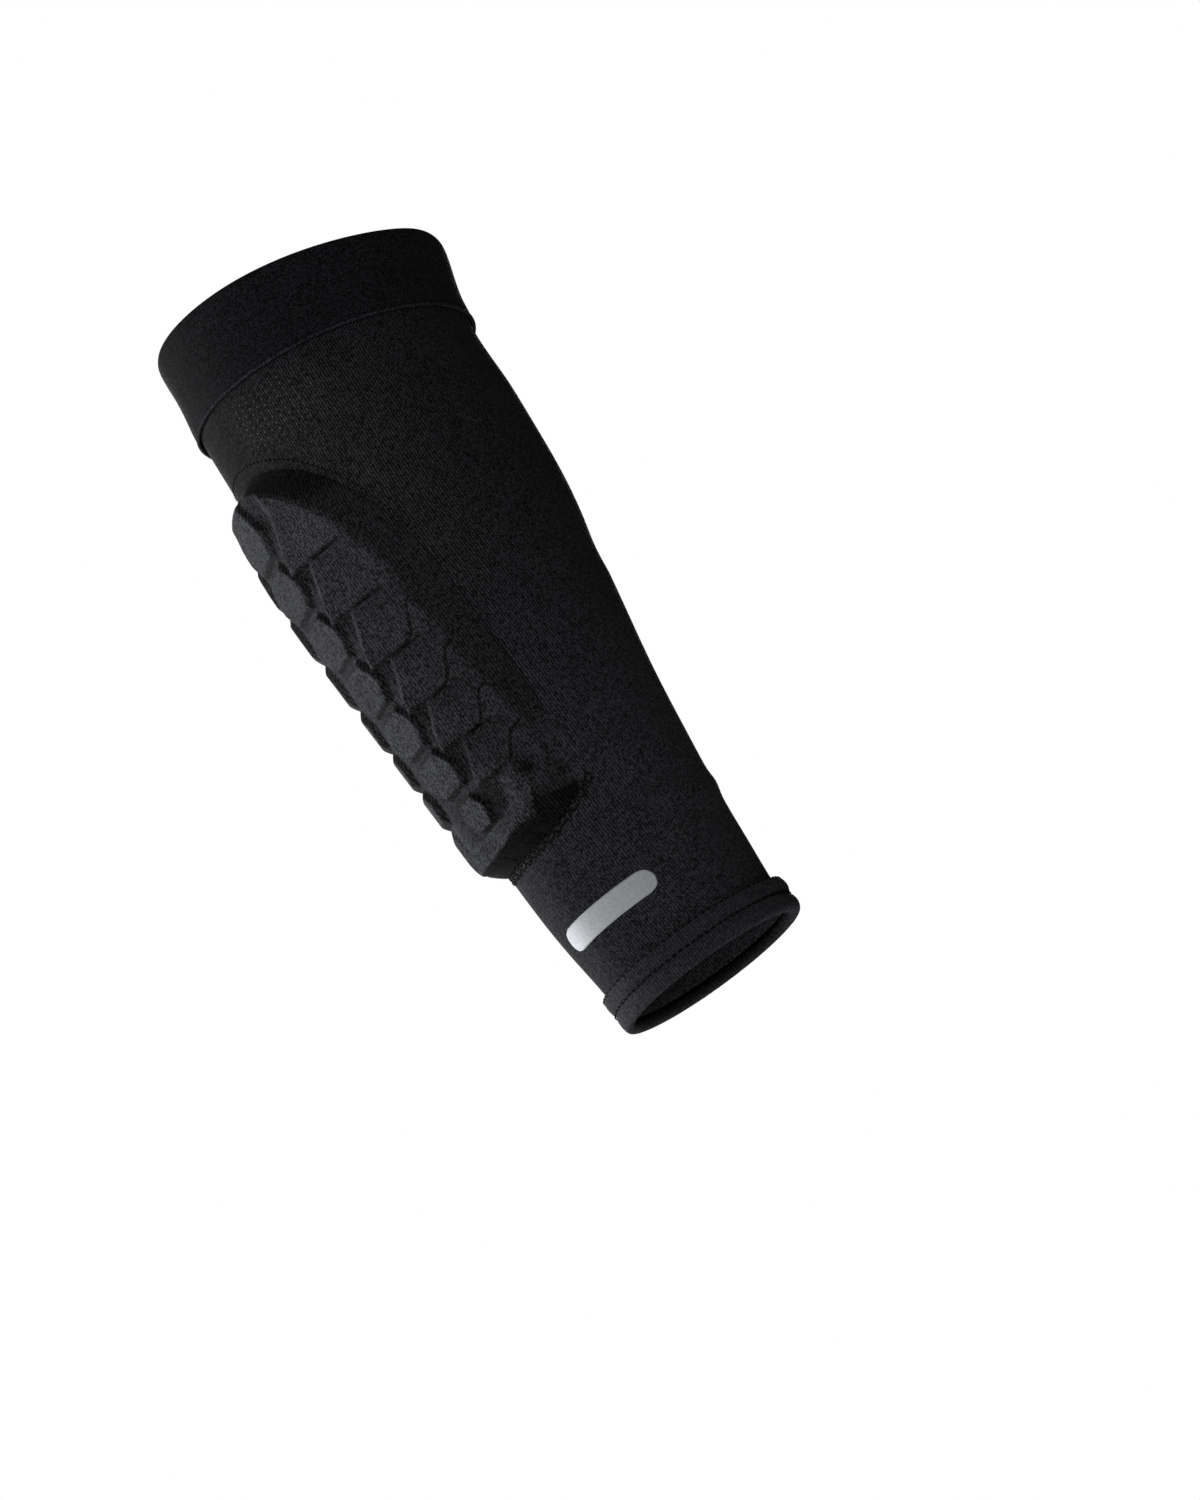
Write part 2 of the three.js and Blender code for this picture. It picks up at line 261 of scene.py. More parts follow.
def fine_knit_group():
    """Ribs of linked loops, each of a slightly different tone. Stretch opens the gaps between the ribs and
    darkens the tone; on the pad it also carries painted shade.
    """
    inputs = {"Rib Width": RIB_WIDTH, "Loop Height": LOOP_HEIGHT, "Rib Gap": 0.55, "Grain": 2.0}
    inputs |= {"Stretch": 0.0}
    outputs = {"Tone": "Float", "Height": "Float"}
    tree, given, out = new_group("fine_knit", "ShaderNodeTree", inputs, outputs)
    across, along = cloth_fields(tree)
    rib = across / given["Rib Width"]
    from_rib = abs(rib.math("FRACT") - 0.5) * 2
    loop = along / given["Loop Height"] + from_rib * 0.6
    from_loop = abs(loop.math("FRACT") - 0.5) * 2
    rib_round = 1 - from_rib**2
    height = rib_round * (0.6 + (1 - from_loop**2) * 0.4)
    half_loop = {0: (rib * 2).math("FLOOR"), 1: loop.math("FLOOR")}
    cell = add_node(tree, "ShaderNodeCombineXYZ", half_loop)
    chance = add_node(tree, "ShaderNodeTexWhiteNoise", {"Vector": cell.outputs[0]}, noise_dimensions="2D")
    yarn = (Field(tree, chance.outputs["Value"]) - 0.4) * given["Grain"] + 1
    wide = add_node(tree, "ShaderNodeCombineXYZ", {0: across, 1: along})
    cloud = add_node(tree, "ShaderNodeTexNoise", {"Vector": wide.outputs[0], "Scale": 70.0, "Detail": 3.0})
    cloudy = Field(tree, cloud.outputs[0]) * 0.4 + 0.85
    gap = from_rib**1.6 * (given["Rib Gap"] + given["Stretch"] * 0.4)
    tone = (1 - gap) * yarn * cloudy * (1 - given["Stretch"] * 0.7)
    tree.links.new(tone.socket, out.inputs["Tone"])
    tree.links.new(height.socket, out.inputs["Height"])
    return tree


def new_material(name, finish):
    """A material whose shader has the values of a finish. It comes with its node tree and its shader."""
    material = bpy.data.materials.new(name)
    material.use_nodes = True
    bsdf = material.node_tree.nodes["Principled BSDF"]
    for label, value in finish.items():
        bsdf.inputs[label].default_value = value
    return material, material.node_tree, bsdf


def tint_colour(tree, bsdf, colour, tone):
    """Gives a shader a colour that is multiplied by a tone."""
    inputs = {"Factor": 1.0, 6: colour, 7: tone}
    tint = add_node(tree, "ShaderNodeMix", inputs, data_type="RGBA", blend_type="MULTIPLY")
    tree.links.new(tint.outputs[2], bsdf.inputs["Base Color"])


def bump_surface(tree, bsdf, strength, depth, height):
    """Gives a shader the fine relief of a height."""
    bump = add_node(tree, "ShaderNodeBump", {"Strength": strength, "Distance": depth, "Height": height})
    tree.links.new(bump.outputs[0], bsdf.inputs["Normal"])


def knit_material(name, colour, knit_inputs, depth, sheen):
    """A matt black cloth whose colour and bump come from the fine knit."""
    finish = {"Roughness": 0.85, "Specular IOR Level": 0.04, "Sheen Weight": sheen, "Sheen Roughness": 0.45}
    material, tree, bsdf = new_material(name, finish)
    knit = add_node(tree, "ShaderNodeGroup", node_tree=fine_knit)
    for label, value in knit_inputs.items():
        knit.inputs[label].default_value = value
    tint_colour(tree, bsdf, colour, knit.outputs["Tone"])
    bump_surface(tree, bsdf, strength=0.7, depth=depth, height=knit.outputs["Height"])
    return material


def group_node(tree):
    """The node of a material that holds the fine knit."""
    return next(node for node in tree.nodes if node.type == "GROUP")


def tint_node(tree):
    """The node of a material that multiplies its colour by its tone."""
    return next(node for node in tree.nodes if node.type == "MIX")


def new_object(name, data):
    """Puts a mesh, a light or a camera into the scene."""
    thing = bpy.data.objects.new(name, data)
    bpy.context.scene.collection.objects.link(thing)
    return thing


def new_piece(name, points, faces, places, material):
    """A smooth mesh piece, with each face corner's place on the flat cloth as its UV map."""
    mesh = bpy.data.meshes.new(name)
    mesh.from_pydata(points.reshape(-1, 3), [], faces)
    mesh.uv_layers.new(name="cloth").data.foreach_set("uv", places.astype(np.float32).ravel())
    mesh.materials.append(material)
    mesh.shade_smooth()
    return new_object(name, mesh)


def round_sleeve(columns):
    """The angles of columns round the sleeve, from the seam behind it back to the seam."""
    return np.linspace(-np.pi, np.pi, columns + 1)


def sleeve_band(name, columns, height, offset, material):
    """A closed band round the sleeve. Rows of height and offset go up its outside and down its inside."""
    height, offset, angle = np.broadcast_arrays(height, offset, round_sleeve(columns))
    rows = len(height)
    points = sleeve_point(angle, height, offset)[:, :-1]
    places = knit_place(angle, height)
    row, column = np.meshgrid(np.arange(rows), np.arange(columns), indexing="ij")
    above, right = (row + 1) % rows, column + 1
    corners = [(row, column), (row, right), (above, right), (above, column)]
    faces = np.stack([r * columns + c % columns for r, c in corners], -1)
    uv = np.stack([places[r, c] for r, c in corners], 2)
    return new_piece(name, points, faces.reshape(-1, 4).tolist(), uv, material)


def front_draw(across):
    """How much tighter the cloth is drawn over the front edge of the sleeve than round its sides."""
    return abs(across - FRONT_EDGE).ramp(FRONT_ENDS, FRONT_FULL)


fine_knit = fine_knit_group()
body_knit = knit_material("body_knit", KNIT_BLACK, {"Rib Gap": 0.75}, depth=0.12 * MM, sheen=0.015)
body_tree = body_knit.node_tree
cloth_across, cloth_along = cloth_fields(body_tree)
thin_knit = cloth_along.ramp(STRETCH_STARTS, STRETCH_FULL) * STRETCH_UPWARDS
thin_knit = thin_knit + front_draw(cloth_across) * STRETCH_OVER_FRONT
body_tree.links.new(thin_knit.socket, group_node(body_tree).inputs["Stretch"])
eyelet_column = cloth_across / EYELET_ACROSS
eyelet_row = cloth_along / EYELET_ALONG + eyelet_column.math("FLOOR") * 0.5
eyelet_x = (eyelet_column.math("FRACT") - 0.5) * EYELET_ACROSS
eyelet_y = (eyelet_row.math("FRACT") - 0.5) * EYELET_ALONG
eyelet = 1 - (eyelet_x**2 + eyelet_y**2) ** 0.5 / EYELET_RADIUS
eyelet_patch = cloth_along.band(*EYELETS_ALONG) * cloth_across.band(*EYELETS_ROUND)
eyelet_mask = eyelet.ramp(0.0, 0.5) * eyelet_patch * EYELET_SHARE
# A warm tint with a painted sheen, lighter down the middle of the tube
warm_sheen_patch = cloth_along.band(*THIN_SHEEN_ALONG) * cloth_across.band(*THIN_SHEEN_ROUND)
warm_sheen_inputs = {"Factor": warm_sheen_patch, 6: KNIT_BLACK, 7: THIN_KNIT_SHEEN_BLACK}
warmed_with_sheen = add_node(body_tree, "ShaderNodeMix", warm_sheen_inputs, data_type="RGBA")
body_tint = tint_node(body_tree)
body_tree.links.new(warmed_with_sheen.outputs[2], body_tint.inputs[6])
dotted_inputs = {"Factor": eyelet_mask, 6: body_tint.outputs[2], 7: EYELET_GREY}
dotted = add_node(body_tree, "ShaderNodeMix", dotted_inputs, data_type="RGBA")
body_tree.links.new(dotted.outputs[2], body_tree.nodes["Principled BSDF"].inputs["Base Color"])

outside = np.linspace(KNIT_LOW, KNIT_HIGH, KNIT_ROWS)[:, None]
inside = np.linspace(KNIT_HIGH, KNIT_LOW, INSIDE_ROWS)[:, None]
body_height = np.concatenate([outside, inside])
body_offset = knit_slack(round_sleeve(KNIT_COLUMNS), body_height)
body_offset[KNIT_ROWS:] -= KNIT_WALL
sleeve_body = sleeve_band("sleeve_body_knit", KNIT_COLUMNS, body_height, body_offset, body_knit)
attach(sleeve_body, "root")
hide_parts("sleeve_body")

# Elbow cuff
# A band of smooth, dense elastic, folded double over the top edge of the knit and sewn down inside.
# Its lower edge is a fine fold that stands a little proud of the knit and leaves a narrow shadow; a highlight
# along the fold is painted into the elastic's colour.
CUFF_LOW = 219 * MM
CUFF_COLUMNS = 320
# One corner of the upper edge stands higher: by how much, at which angle and how broad
CUFF_CORNER = 2.2 * MM
CUFF_CORNER_ANGLE, CUFF_CORNER_BREADTH = np.radians([132, 26])
# Long waves in the band where it stands free: their number round the sleeve, shift, and depth in millimetres
CUFF_WAVES = [(3, 0.5, 0.18), (7, 2.0, 0.07)]
# A painted highlight along the fold of the lower edge: how much lighter it is, and where above that edge it
# is full and where it ends
FOLD_EDGE_HIGHLIGHT = 1.2
FOLD_EDGE_FULL, FOLD_EDGE_ENDS = 0.45 * MM, 0.75 * MM
# The elastic is darker where it is drawn over the front edge of the sleeve
CUFF_SIDE_TONE, CUFF_FRONT_LOSS = 1.1, 0.42
CUFF_BLACK = (0.0078, 0.0081, 0.0094, 1)
# Outline in millimetres out from the knit and up from the cuff's lower edge, up the outside first
CUFF_OUTLINE = MM * np.array([
    [0.55, 0.55], [0.65, 0.2], [0.95, 0.0], [1.3, 0.0], [1.6, 0.15], [1.75, 0.45], [1.68, 0.8],
    [1.45, 1.0], [1.3, 1.2], [1.32, 1.6], [1.4, 2.4], [1.4, 4.0], [1.3, 6.0], [1.15, 8.5],
    [1.08, 11.0], [1.1, 14.0], [1.2, 17.0], [1.4, 20.0], [1.6, 22.5], [1.7, 25.0], [1.7, 26.4],
    [1.6, 27.2], [1.35, 27.7], [0.9, 27.95], [0.3, 28.0], [-0.3, 27.9], [-0.8, 27.5], [-1.1, 26.6],
    [-1.2, 24.0], [-1.2, 20.0], [-1.2, 15.0], [-1.2, 10.0], [-1.2, 7.6], [0.25, 7.4], [0.25, 5.0],
    [0.25, 2.0], [0.3, 1.2],
])

elastic_weave = {"Rib Width": 0.7 * MM, "Loop Height": 0.36 * MM, "Grain": 2.5}
cuff_elastic = knit_material("cuff_elastic", CUFF_BLACK, elastic_weave, depth=0.05 * MM, sheen=0.015)
cuff_tree = cuff_elastic.node_tree
cuff_across, cuff_along = cloth_fields(cuff_tree)
# The painted highlight along the fold of the lower edge
fold_highlight = 1 - cuff_along.ramp(CUFF_LOW + FOLD_EDGE_FULL, CUFF_LOW + FOLD_EDGE_ENDS)
cuff_tone = Field(cuff_tree, group_node(cuff_tree).outputs["Tone"]) * (1 + fold_highlight * FOLD_EDGE_HIGHLIGHT)
cuff_tone = cuff_tone * (CUFF_SIDE_TONE - front_draw(cuff_across) * CUFF_FRONT_LOSS)
cuff_tree.links.new(cuff_tone.socket, tint_node(cuff_tree).inputs[7])
turn = round_sleeve(CUFF_COLUMNS)
cuff_climb = CUFF_OUTLINE[:, 1:] / CUFF_OUTLINE[:, 1].max()
high_corner = hump(turn, CUFF_CORNER_ANGLE, CUFF_CORNER_BREADTH)
cuff_height = CUFF_LOW + CUFF_OUTLINE[:, 1:] + CUFF_CORNER * high_corner * cuff_climb**2
cuff_wave = sum(np.sin(count * turn + shift) * depth * MM for count, shift, depth in CUFF_WAVES)
cuff_offset = CUFF_OUTLINE[:, :1] + cuff_wave * np.clip(CUFF_OUTLINE[:, 1:] / (9 * MM) - 0.9, 0, 1)
elbow_cuff = sleeve_band("elbow_cuff_elastic", CUFF_COLUMNS, cuff_height, cuff_offset, cuff_elastic)
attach(elbow_cuff, "root")
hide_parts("elbow_cuff")

# Wrist hem
# The end of the knit, turned up twice and sewn down in two rows that leave two soft rolls. Each stitch of
# the rows draws the cloth in a little, so the rolls are faintly puckered.
HEM_HEIGHT = 11.5 * MM
HEM_COLUMNS = 480
HEM_ROLL_STEPS = 16
HEM_GROOVE, HEM_ROLL, HEM_SLACK = 1.25 * MM, 2.2 * MM, 1.0 * MM
HEM_SLACK_ANGLE, HEM_SLACK_BREADTH = np.radians([150, 38])
HEM_PUCKERS = 72
HEM_PUCKER_DEPTH, HEM_PUCKER_BREADTH = 0.16 * MM, 1.6 * MM
HEM_WAVE = 0.15 * MM


def hem_roll(angle):
    """How far the rolls stand out. They are fuller at the inside of the wrist, where the hem is slack."""
    return HEM_ROLL + HEM_SLACK * hump(angle, HEM_SLACK_ANGLE, HEM_SLACK_BREADTH)


hem_knit = knit_material("hem_knit", KNIT_BLACK, {"Grain": 1.2}, depth=0.2 * MM, sheen=0.015)
turn = round_sleeve(HEM_COLUMNS)
roll_share = 0.5 - 0.5 * np.cos(np.linspace(0, np.pi, HEM_ROLL_STEPS, endpoint=False))
bulge = np.sin(np.pi * roll_share) ** 0.4
# Rows of offset, height, and share of the roll's fullness, up the outside and down the inside
hem_rows = [(-0.6 * MM, 0.15 * MM, 0), (0.2 * MM, 0.0, 0)]
hem_rows += [(HEM_GROOVE, HEM_HEIGHT / 2 * s, b) for s, b in zip(roll_share[1:], bulge[1:])]
hem_rows += [(HEM_GROOVE, HEM_HEIGHT / 2 * (1 + s), b) for s, b in zip(roll_share, bulge)]
hem_rows += [(HEM_GROOVE, HEM_HEIGHT, 0), (0.1 * MM, HEM_HEIGHT + 0.1 * MM, 0), (0.1 * MM, 8 * MM, 0)]
hem_rows += [(0.1 * MM, 3.6 * MM, 0), (-KNIT_WALL, 3.4 * MM, 0), (-KNIT_WALL, 1.0 * MM, 0)]
hem_outline = np.array(hem_rows)
hem_height = hem_outline[:, 1:2]
draw_in = 0.5 + 0.5 * np.cos(HEM_PUCKERS * turn + 1.5 * np.sin(3 * turn))
near_row = hump(hem_height, HEM_HEIGHT / 2, HEM_PUCKER_BREADTH)
near_row = near_row + hump(hem_height, HEM_HEIGHT, HEM_PUCKER_BREADTH)
outer = (hem_outline[:, :1] > 0.5 * MM) * 1.0
hem_offset = hem_outline[:, :1] + (hem_roll(turn) - HEM_GROOVE) * hem_outline[:, 2:]
hem_offset = hem_offset - HEM_PUCKER_DEPTH * draw_in * near_row * outer
hem_wave = np.sin(4 * turn + 1) * np.sin(np.pi * hem_height / HEM_HEIGHT)
hem_offset = hem_offset + HEM_WAVE * hem_wave * outer
wrist_hem = sleeve_band("wrist_hem_knit", HEM_COLUMNS, hem_height, hem_offset, hem_knit)
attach(wrist_hem, "root")
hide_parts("wrist_hem")

# Forearm pad
# A moulded foam panel bonded under the same knit and sewn round its edge. Three staggered columns of raised
# hexagonal cells run down it, and a U-shaped bar lies round the last cell. Plain slopes fall to the edge at
# both sides, the right one steeper and creased at the gaps between its cells.
PAD_BOTTOM, PAD_TOP = 55.9 * MM, 196.5 * MM
PAD_HALF_ANGLE = 63.0
SQUARENESS_TOP, SQUARENESS_BOTTOM = 2.7, 14.0
END_BOW = 4.0e-5 * MM
TWIST_BOTTOM, TWIST_TOP = 6.0, -18.0
PAD_EDGE = 0.12 * MM
PAD_FOAM = 5.3 * MM
# The slopes to the edge, in shares of the pad's half breadth and half length
RAMP_ENDS, RAMP_SIDES, RAMP_RIGHT = 0.065, 0.6, 0.24
END_ROUNDING = 0.85
# The moulded planes under the columns: the sleeve's radius there, the hollow under the middle column, how
# far that reaches and how it fades to the edge, and for the right column the angle where its plane starts
# and the angle that it faces, from the middle column
MOULD_RADIUS, MIDDLE_HOLLOW = 47.7 * MM, 1.0 * MM
HOLLOW_REACH, HOLLOW_FADE = 0.5, 8
PLANE_START, PLANE_FACES, PLANE_FACES_TOP = np.radians([15.0, 41.0, 30.0])
# In shares of the pad: where that plane turns towards the elbow end, and the one slope beside the bar
PLANE_TURNS, PLANE_TURN_RUN = 0.3, 0.45
BESIDE_BAR, BESIDE_BAR_RUN = 0.5, 0.28
BAR_SLOPE_FOOT, BAR_SLOPE_RUN = 0.92, 0.42
PAD_ACROSS, PAD_ALONG = 216, 400
# The cloth that is swollen by simulation has one row of points to each so many of the pad's own
SWELL_STEP_ACROSS, SWELL_STEP_ALONG = 6, 8
SWELL_FRAMES, SWELL_PRESSURE, SWELL_MASS, SWELL_CAP = 20, 4.0, 0.001, 0.5 * MM
UNDER_STEP = 12
UNDER_OFFSET = 0.02 * MM
# The cells: the angle of the middle column and of a side column from it, how far the last cell drifts, the
# height of the first cell and the step down from it, both in millimetres, and how much each step shrinks
CELLS_MIDDLE, COLUMN_ANGLE, LAST_CELL_DRIFT = 2.0, 31.0, 4.5
FIRST_CELL, FIRST_PITCH, PITCH_SHRINK = 181.5, 19.8, 0.8
MIDDLE_CELLS = 7
DRIFT_START, DRIFT_RUN = 4.5, 1.5
# The bar's line, in degrees from the middle column and millimetres of height
BAR_MM_PER_DEGREE = 0.72
BAR_LINE = [(29.5, 73.5), (29, 70.6), (27.2, 67.2), (22.5, 64.2), (14, 62.8), (0, 62.8),
            (-14, 62.8), (-22.5, 64.2), (-27.2, 67.2), (-29, 70.6), (-29.5, 73.5)]
# Places on the pad laid flat, from its middle column and in height: the dent at the bar's right end, the
# heights over which the bar's skirt runs out, and the ranges of the slack facet and of the wall end, which is
# taut and given painted shade
DENT_PLACE = (27.4 * MM, 74.7 * MM, 0)
DENT_FLOOR, DENT_RIM = 0.8 * MM, 3.6 * MM
SKIRT_ENDS, SKIRT_FULL = 86 * MM, 70 * MM
FACET_FROM, FACET_HEIGHTS = (22 * MM, 25 * MM), MM * np.array([63, 66, 74, 82])
WALL_END_ACROSS, WALL_END_BELOW = MM * np.array([24, 29, 36, 39]), (65.5 * MM, 63.5 * MM)
PAD_BLACK = (0.0256, 0.0265, 0.0291, 1)


def pad_angle(across, height):
    """Where a place on the pad lies round the sleeve, in radians. It drifts round towards the elbow."""
    share = (height - PAD_BOTTOM) / (PAD_TOP - PAD_BOTTOM)
    return np.radians(across + TWIST_BOTTOM + (TWIST_TOP - TWIST_BOTTOM) * share)


def pad_reach(side, up):
    """The length of a vector from the pad's middle, where its outline is 1."""
    n = np.where(up > 0, SQUARENESS_TOP, SQUARENESS_BOTTOM)
    return (np.abs(side) ** n + np.abs(up) ** n) ** (1 / n)


def pad_place(side, up):
    """The degrees across the pad and the height along the sleeve of a place given in shares of the pad."""
    across = side * PAD_HALF_ANGLE
    bow = END_BOW * np.abs(across) ** 3 * np.clip(-up, 0, 1) ** 3
    return across, (PAD_BOTTOM + PAD_TOP) / 2 + up * (PAD_TOP - PAD_BOTTOM) / 2 + bow


def sidewards(side, up):
    """How far a place lies to the side of the pad's middle, from 0 at its ends to 1 at its sides."""
    return side**2 / np.maximum(side**2 + up**2, 1e-9)


def smooth_step(share):
    """A share from 0 to 1 that starts and ends gently."""
    share = np.clip(share, 0, 1)
    return share**2 * (3 - 2 * share)


def right_ramp(side, up):
    """The share of its full height that the pad has on its right half, on the slope up from its edge."""
    return np.clip((1 - pad_reach(side, up)) / (RAMP_ENDS + RAMP_RIGHT * sidewards(side, up)), 0, 1)


def foam_top(side, up):
    """How far the foam stands out without its cells: steep at the two ends, and in a long round slope at the
    left. At the right a plane lies under the side column, with one straight slope beside the bar."""
    to_edge = 1 - pad_reach(side, up)
    aside = sidewards(side, up)
    upper = np.clip(to_edge / (RAMP_ENDS + (RAMP_SIDES - RAMP_ENDS) * aside**2), 0, 1)
    upper_end = upper**END_ROUNDING
    upper_left = upper_end + (smooth_step(upper) - upper_end) * np.clip(aside * 3, 0, 1)
    lower_end = np.clip(to_edge / RAMP_ENDS, 0, 1) ** END_ROUNDING
    lower_left = np.minimum(smooth_step((1 - np.abs(side)) / RAMP_SIDES), lower_end)
    beside_bar = smooth_step((-up - BESIDE_BAR) / BESIDE_BAR_RUN)
    bar_slope = np.clip((BAR_SLOPE_FOOT - side) / BAR_SLOPE_RUN, 0, 1)
    from_middle = np.radians(side * PAD_HALF_ANGLE - CELLS_MIDDLE)
    turned = np.clip((up - PLANE_TURNS) / PLANE_TURN_RUN, 0, 1)
    facing = PLANE_FACES + (PLANE_FACES_TOP - PLANE_FACES) * turned
    faces = np.clip(from_middle, PLANE_START, facing) - facing
    plane = 1 + MOULD_RADIUS / PAD_FOAM * (np.cos(PLANE_START - facing) / np.cos(faces) - 1)
    right = right_ramp(side, up) * (plane + (bar_slope - plane) * beside_bar)
    left = np.where(up > 0, upper_left, lower_left)
    thickness = PAD_EDGE + (PAD_FOAM - PAD_EDGE) * np.where(side > 0, right, left)
    chord = 1 / np.cos(np.clip(from_middle, -HOLLOW_REACH, HOLLOW_REACH)) - 1
    hollow = np.clip(MIDDLE_HOLLOW - MOULD_RADIUS * chord, 0, None)
    return np.maximum(thickness - hollow * np.clip(to_edge * HOLLOW_FADE, 0, 1), PAD_EDGE)


def cell_row(height):
    """The height counted in cells down the middle column, whose steps shrink towards the wrist."""
    down = FIRST_CELL - height / MM
    first = FIRST_PITCH + PITCH_SHRINK / 2
    return (first - np.sqrt(first**2 - 2 * PITCH_SHRINK * down)) / PITCH_SHRINK


def raised_cells_tree():
    """Raises the cells and the bar out of the plain pad, and notes where the knit is stretched and where
    shade is painted on it. Columns are counted from the middle one, and rows of cells from the elbow end, in
    the attributes of the plain pad."""
    inputs = {"Pad": "Geometry", "Bar Line": "Object", "Material": "Material"}
    inputs |= {"Cell Rise": 2.1 * MM, "Top Half Width": 0.35, "Top Half Height": 0.4, "Shoulder": 1.2}
    inputs |= {"Side Half Width": 0.42, "Side Slant": 0.32}
    inputs |= {"Corner": 0.1, "Upper Wall": 0.19, "Lower Wall": 0.3, "Side Wall": 0.25}
    inputs |= {"Middle Gap": 0.13, "Middle Gap Floor": 0.25}
    inputs |= {"Side Gap": 0.03, "Side Gap Floor": 0.6, "Left Gap": 0.2}
    # The inputs that end in Stretch And Shade darken the knit's tone: partly real stretch, partly painted
    # shade
    inputs |= {"Crease Depth": 0.9 * MM, "Crease": 0.03, "Crease Stretch": 0.8, "Valley Stretch": 0.45}
    inputs |= {"Shaded Stretch": 0.3, "Slope Stretch": 0.55, "Facet Slack": 0.5, "Wall End Stretch": 1.15}
    inputs |= {"Dent Depth": 1.0 * MM, "Dent Stretch": 0.9}
    inputs |= {"Bar Width": 8.4 * MM, "Bar Rise": 1.6 * MM, "Bar Wall": 2.2 * MM, "Bar Wedge": 0.35}
    inputs |= {"Bar End Wall": 4.5 * MM, "Bar End Foot": 1.8 * MM, "Bar Skirt": 12.0 * MM}
    tree, given, out = new_group("raised_cells", "GeometryNodeTree", inputs, {"Pad": "Geometry"})

    def attribute(name, kind="FLOAT"):
        node = add_node(tree, "GeometryNodeInputNamedAttribute", {"Name": name}, data_type=kind)
        return node.outputs["Attribute"]

    def vectors(operation, *parts):
        return add_node(tree, "ShaderNodeVectorMath", dict(enumerate(parts)), operation=operation)

    def measure(operation, *parts):
        return Field(tree, vectors(operation, *parts).outputs["Value"])

    def eased(distance):
        return (distance**2 + given["Corner"] ** 2) ** 0.5 - given["Corner"]

    def rounded(wall):
        return 1 - (1 - wall) ** given["Shoulder"]

    def hexagon(aside, down):
        return aside / given["Top Half Width"] + eased(down) / (given["Top Half Height"] * 2)

    def raised(reach, down, gap, gap_floor, upper, lower):
        low_side = down.ramp(-0.08, 0.08)
        wall = upper * (1 - low_side) + lower * low_side
        slanted = (1 - reach) / wall + 1
        level = ((0.5 - abs(down)) / gap).math("MAXIMUM", gap_floor)
        return rounded(slanted.math("SMOOTH_MIN", level, 0.3).ramp(0, 1, smooth=False))

    # The hexagons of the middle column, the last one narrower
    signed_column = Field(tree, attribute("column"))
    column = abs(signed_column)
    row = Field(tree, attribute("row"))
    middle_row = row - 0.1
    side_row = row - 0.5 + (row - 3.5).math("MAXIMUM", 0.0) * 0.1
    below_middle = middle_row - middle_row.nearest(0, MIDDLE_CELLS - 1)
    below_side = side_row.math("MAXIMUM", -0.45) - side_row.nearest(0, MIDDLE_CELLS - 2)
    outwards = column - 1
    last = middle_row.ramp(MIDDLE_CELLS - 1.6, MIDDLE_CELLS - 1.4)
    first = 1 - middle_row.ramp(0, -0.2) * 0.25
    middle_down = below_middle * (1 + last * 0.2) * first
    middle_floor = given["Middle Gap Floor"] * (1 - last) * middle_row.ramp(0, 0.1)
    middle_walls = given["Upper Wall"], given["Lower Wall"]
    middle_reach = hexagon(column * (0.88 + row.ramp(0.5, 3) * 0.12 + last * 0.4), middle_down)
    middle_cells = raised(middle_reach, middle_down, given["Middle Gap"], middle_floor, *middle_walls)
    # The cells of the two side columns, slanted at the right, where they run out into the slope
    inwards = (outwards * -1).math("MAXIMUM", 0.0)
    left = signed_column.ramp(0.1, -0.1)
    side_gap = given["Side Gap"] * (1 - left) + given["Left Gap"] * left
    side_floor = (1 - outwards.ramp(-0.28, -0.08)) * (1 - left) * given["Side Gap Floor"]
    side_floor = side_floor * side_row.ramp(MIDDLE_CELLS - 1.7, MIDDLE_CELLS - 1.9)
    right_reach = (inwards - below_side * given["Side Slant"]) / given["Side Half Width"]
    side_reach = right_reach * (1 - left) + hexagon(inwards, below_side) * left
    side_cells = raised(side_reach, below_side, side_gap, side_floor, given["Side Wall"], given["Side Wall"])
    valley = (1 - middle_cells.math("MAXIMUM", side_cells)) * (1 - outwards.ramp(-0.35, -0.1))
    from_edge = Field(tree, attribute("edge"))
    on_ramp = from_edge.ramp(1, 0.7) * outwards.ramp(-0.7, -0.45) * row.ramp(0.6, 0.2)
    blended = outwards.ramp(0.12, 0.28).math("MAXIMUM", on_ramp) * (1 - left)
    in_rows = 1 - side_row.ramp(MIDDLE_CELLS - 2, MIDDLE_CELLS - 0.5)
    side_cells = side_cells * (1 - blended) + in_rows * blended
    fades = (1 - from_edge) * (1 - left) + outwards.ramp(0.2, 0.95) * left
    side_cells = side_cells * (1 - fades)
    columns = middle_cells.math("MAXIMUM", side_cells) * given["Cell Rise"]
    # The creases at the gaps of the right column, which climb the slope
    drift = (row - DRIFT_START).ramp(0, DRIFT_RUN, smooth=False) * 0.145
    climbing = (outwards + drift).ramp(0.08, 0.38)
    crease_row = side_row - 0.47 + outwards * 0.4 + climbing * 0.42
    crease_line = abs(crease_row - crease_row.nearest(0, MIDDLE_CELLS - 2))
    crease = 1 - (crease_line / given["Crease"] / (1 + climbing * (1 - climbing) * 4)).ramp(0, 1)
    crease = crease * outwards.ramp(-0.28, -0.1) * (1 - outwards.ramp(0.46, 0.54)) * (1 - left)
    crease = crease * row.ramp(1.6, 3.2) * (1 - row.ramp(6.0, 6.3))

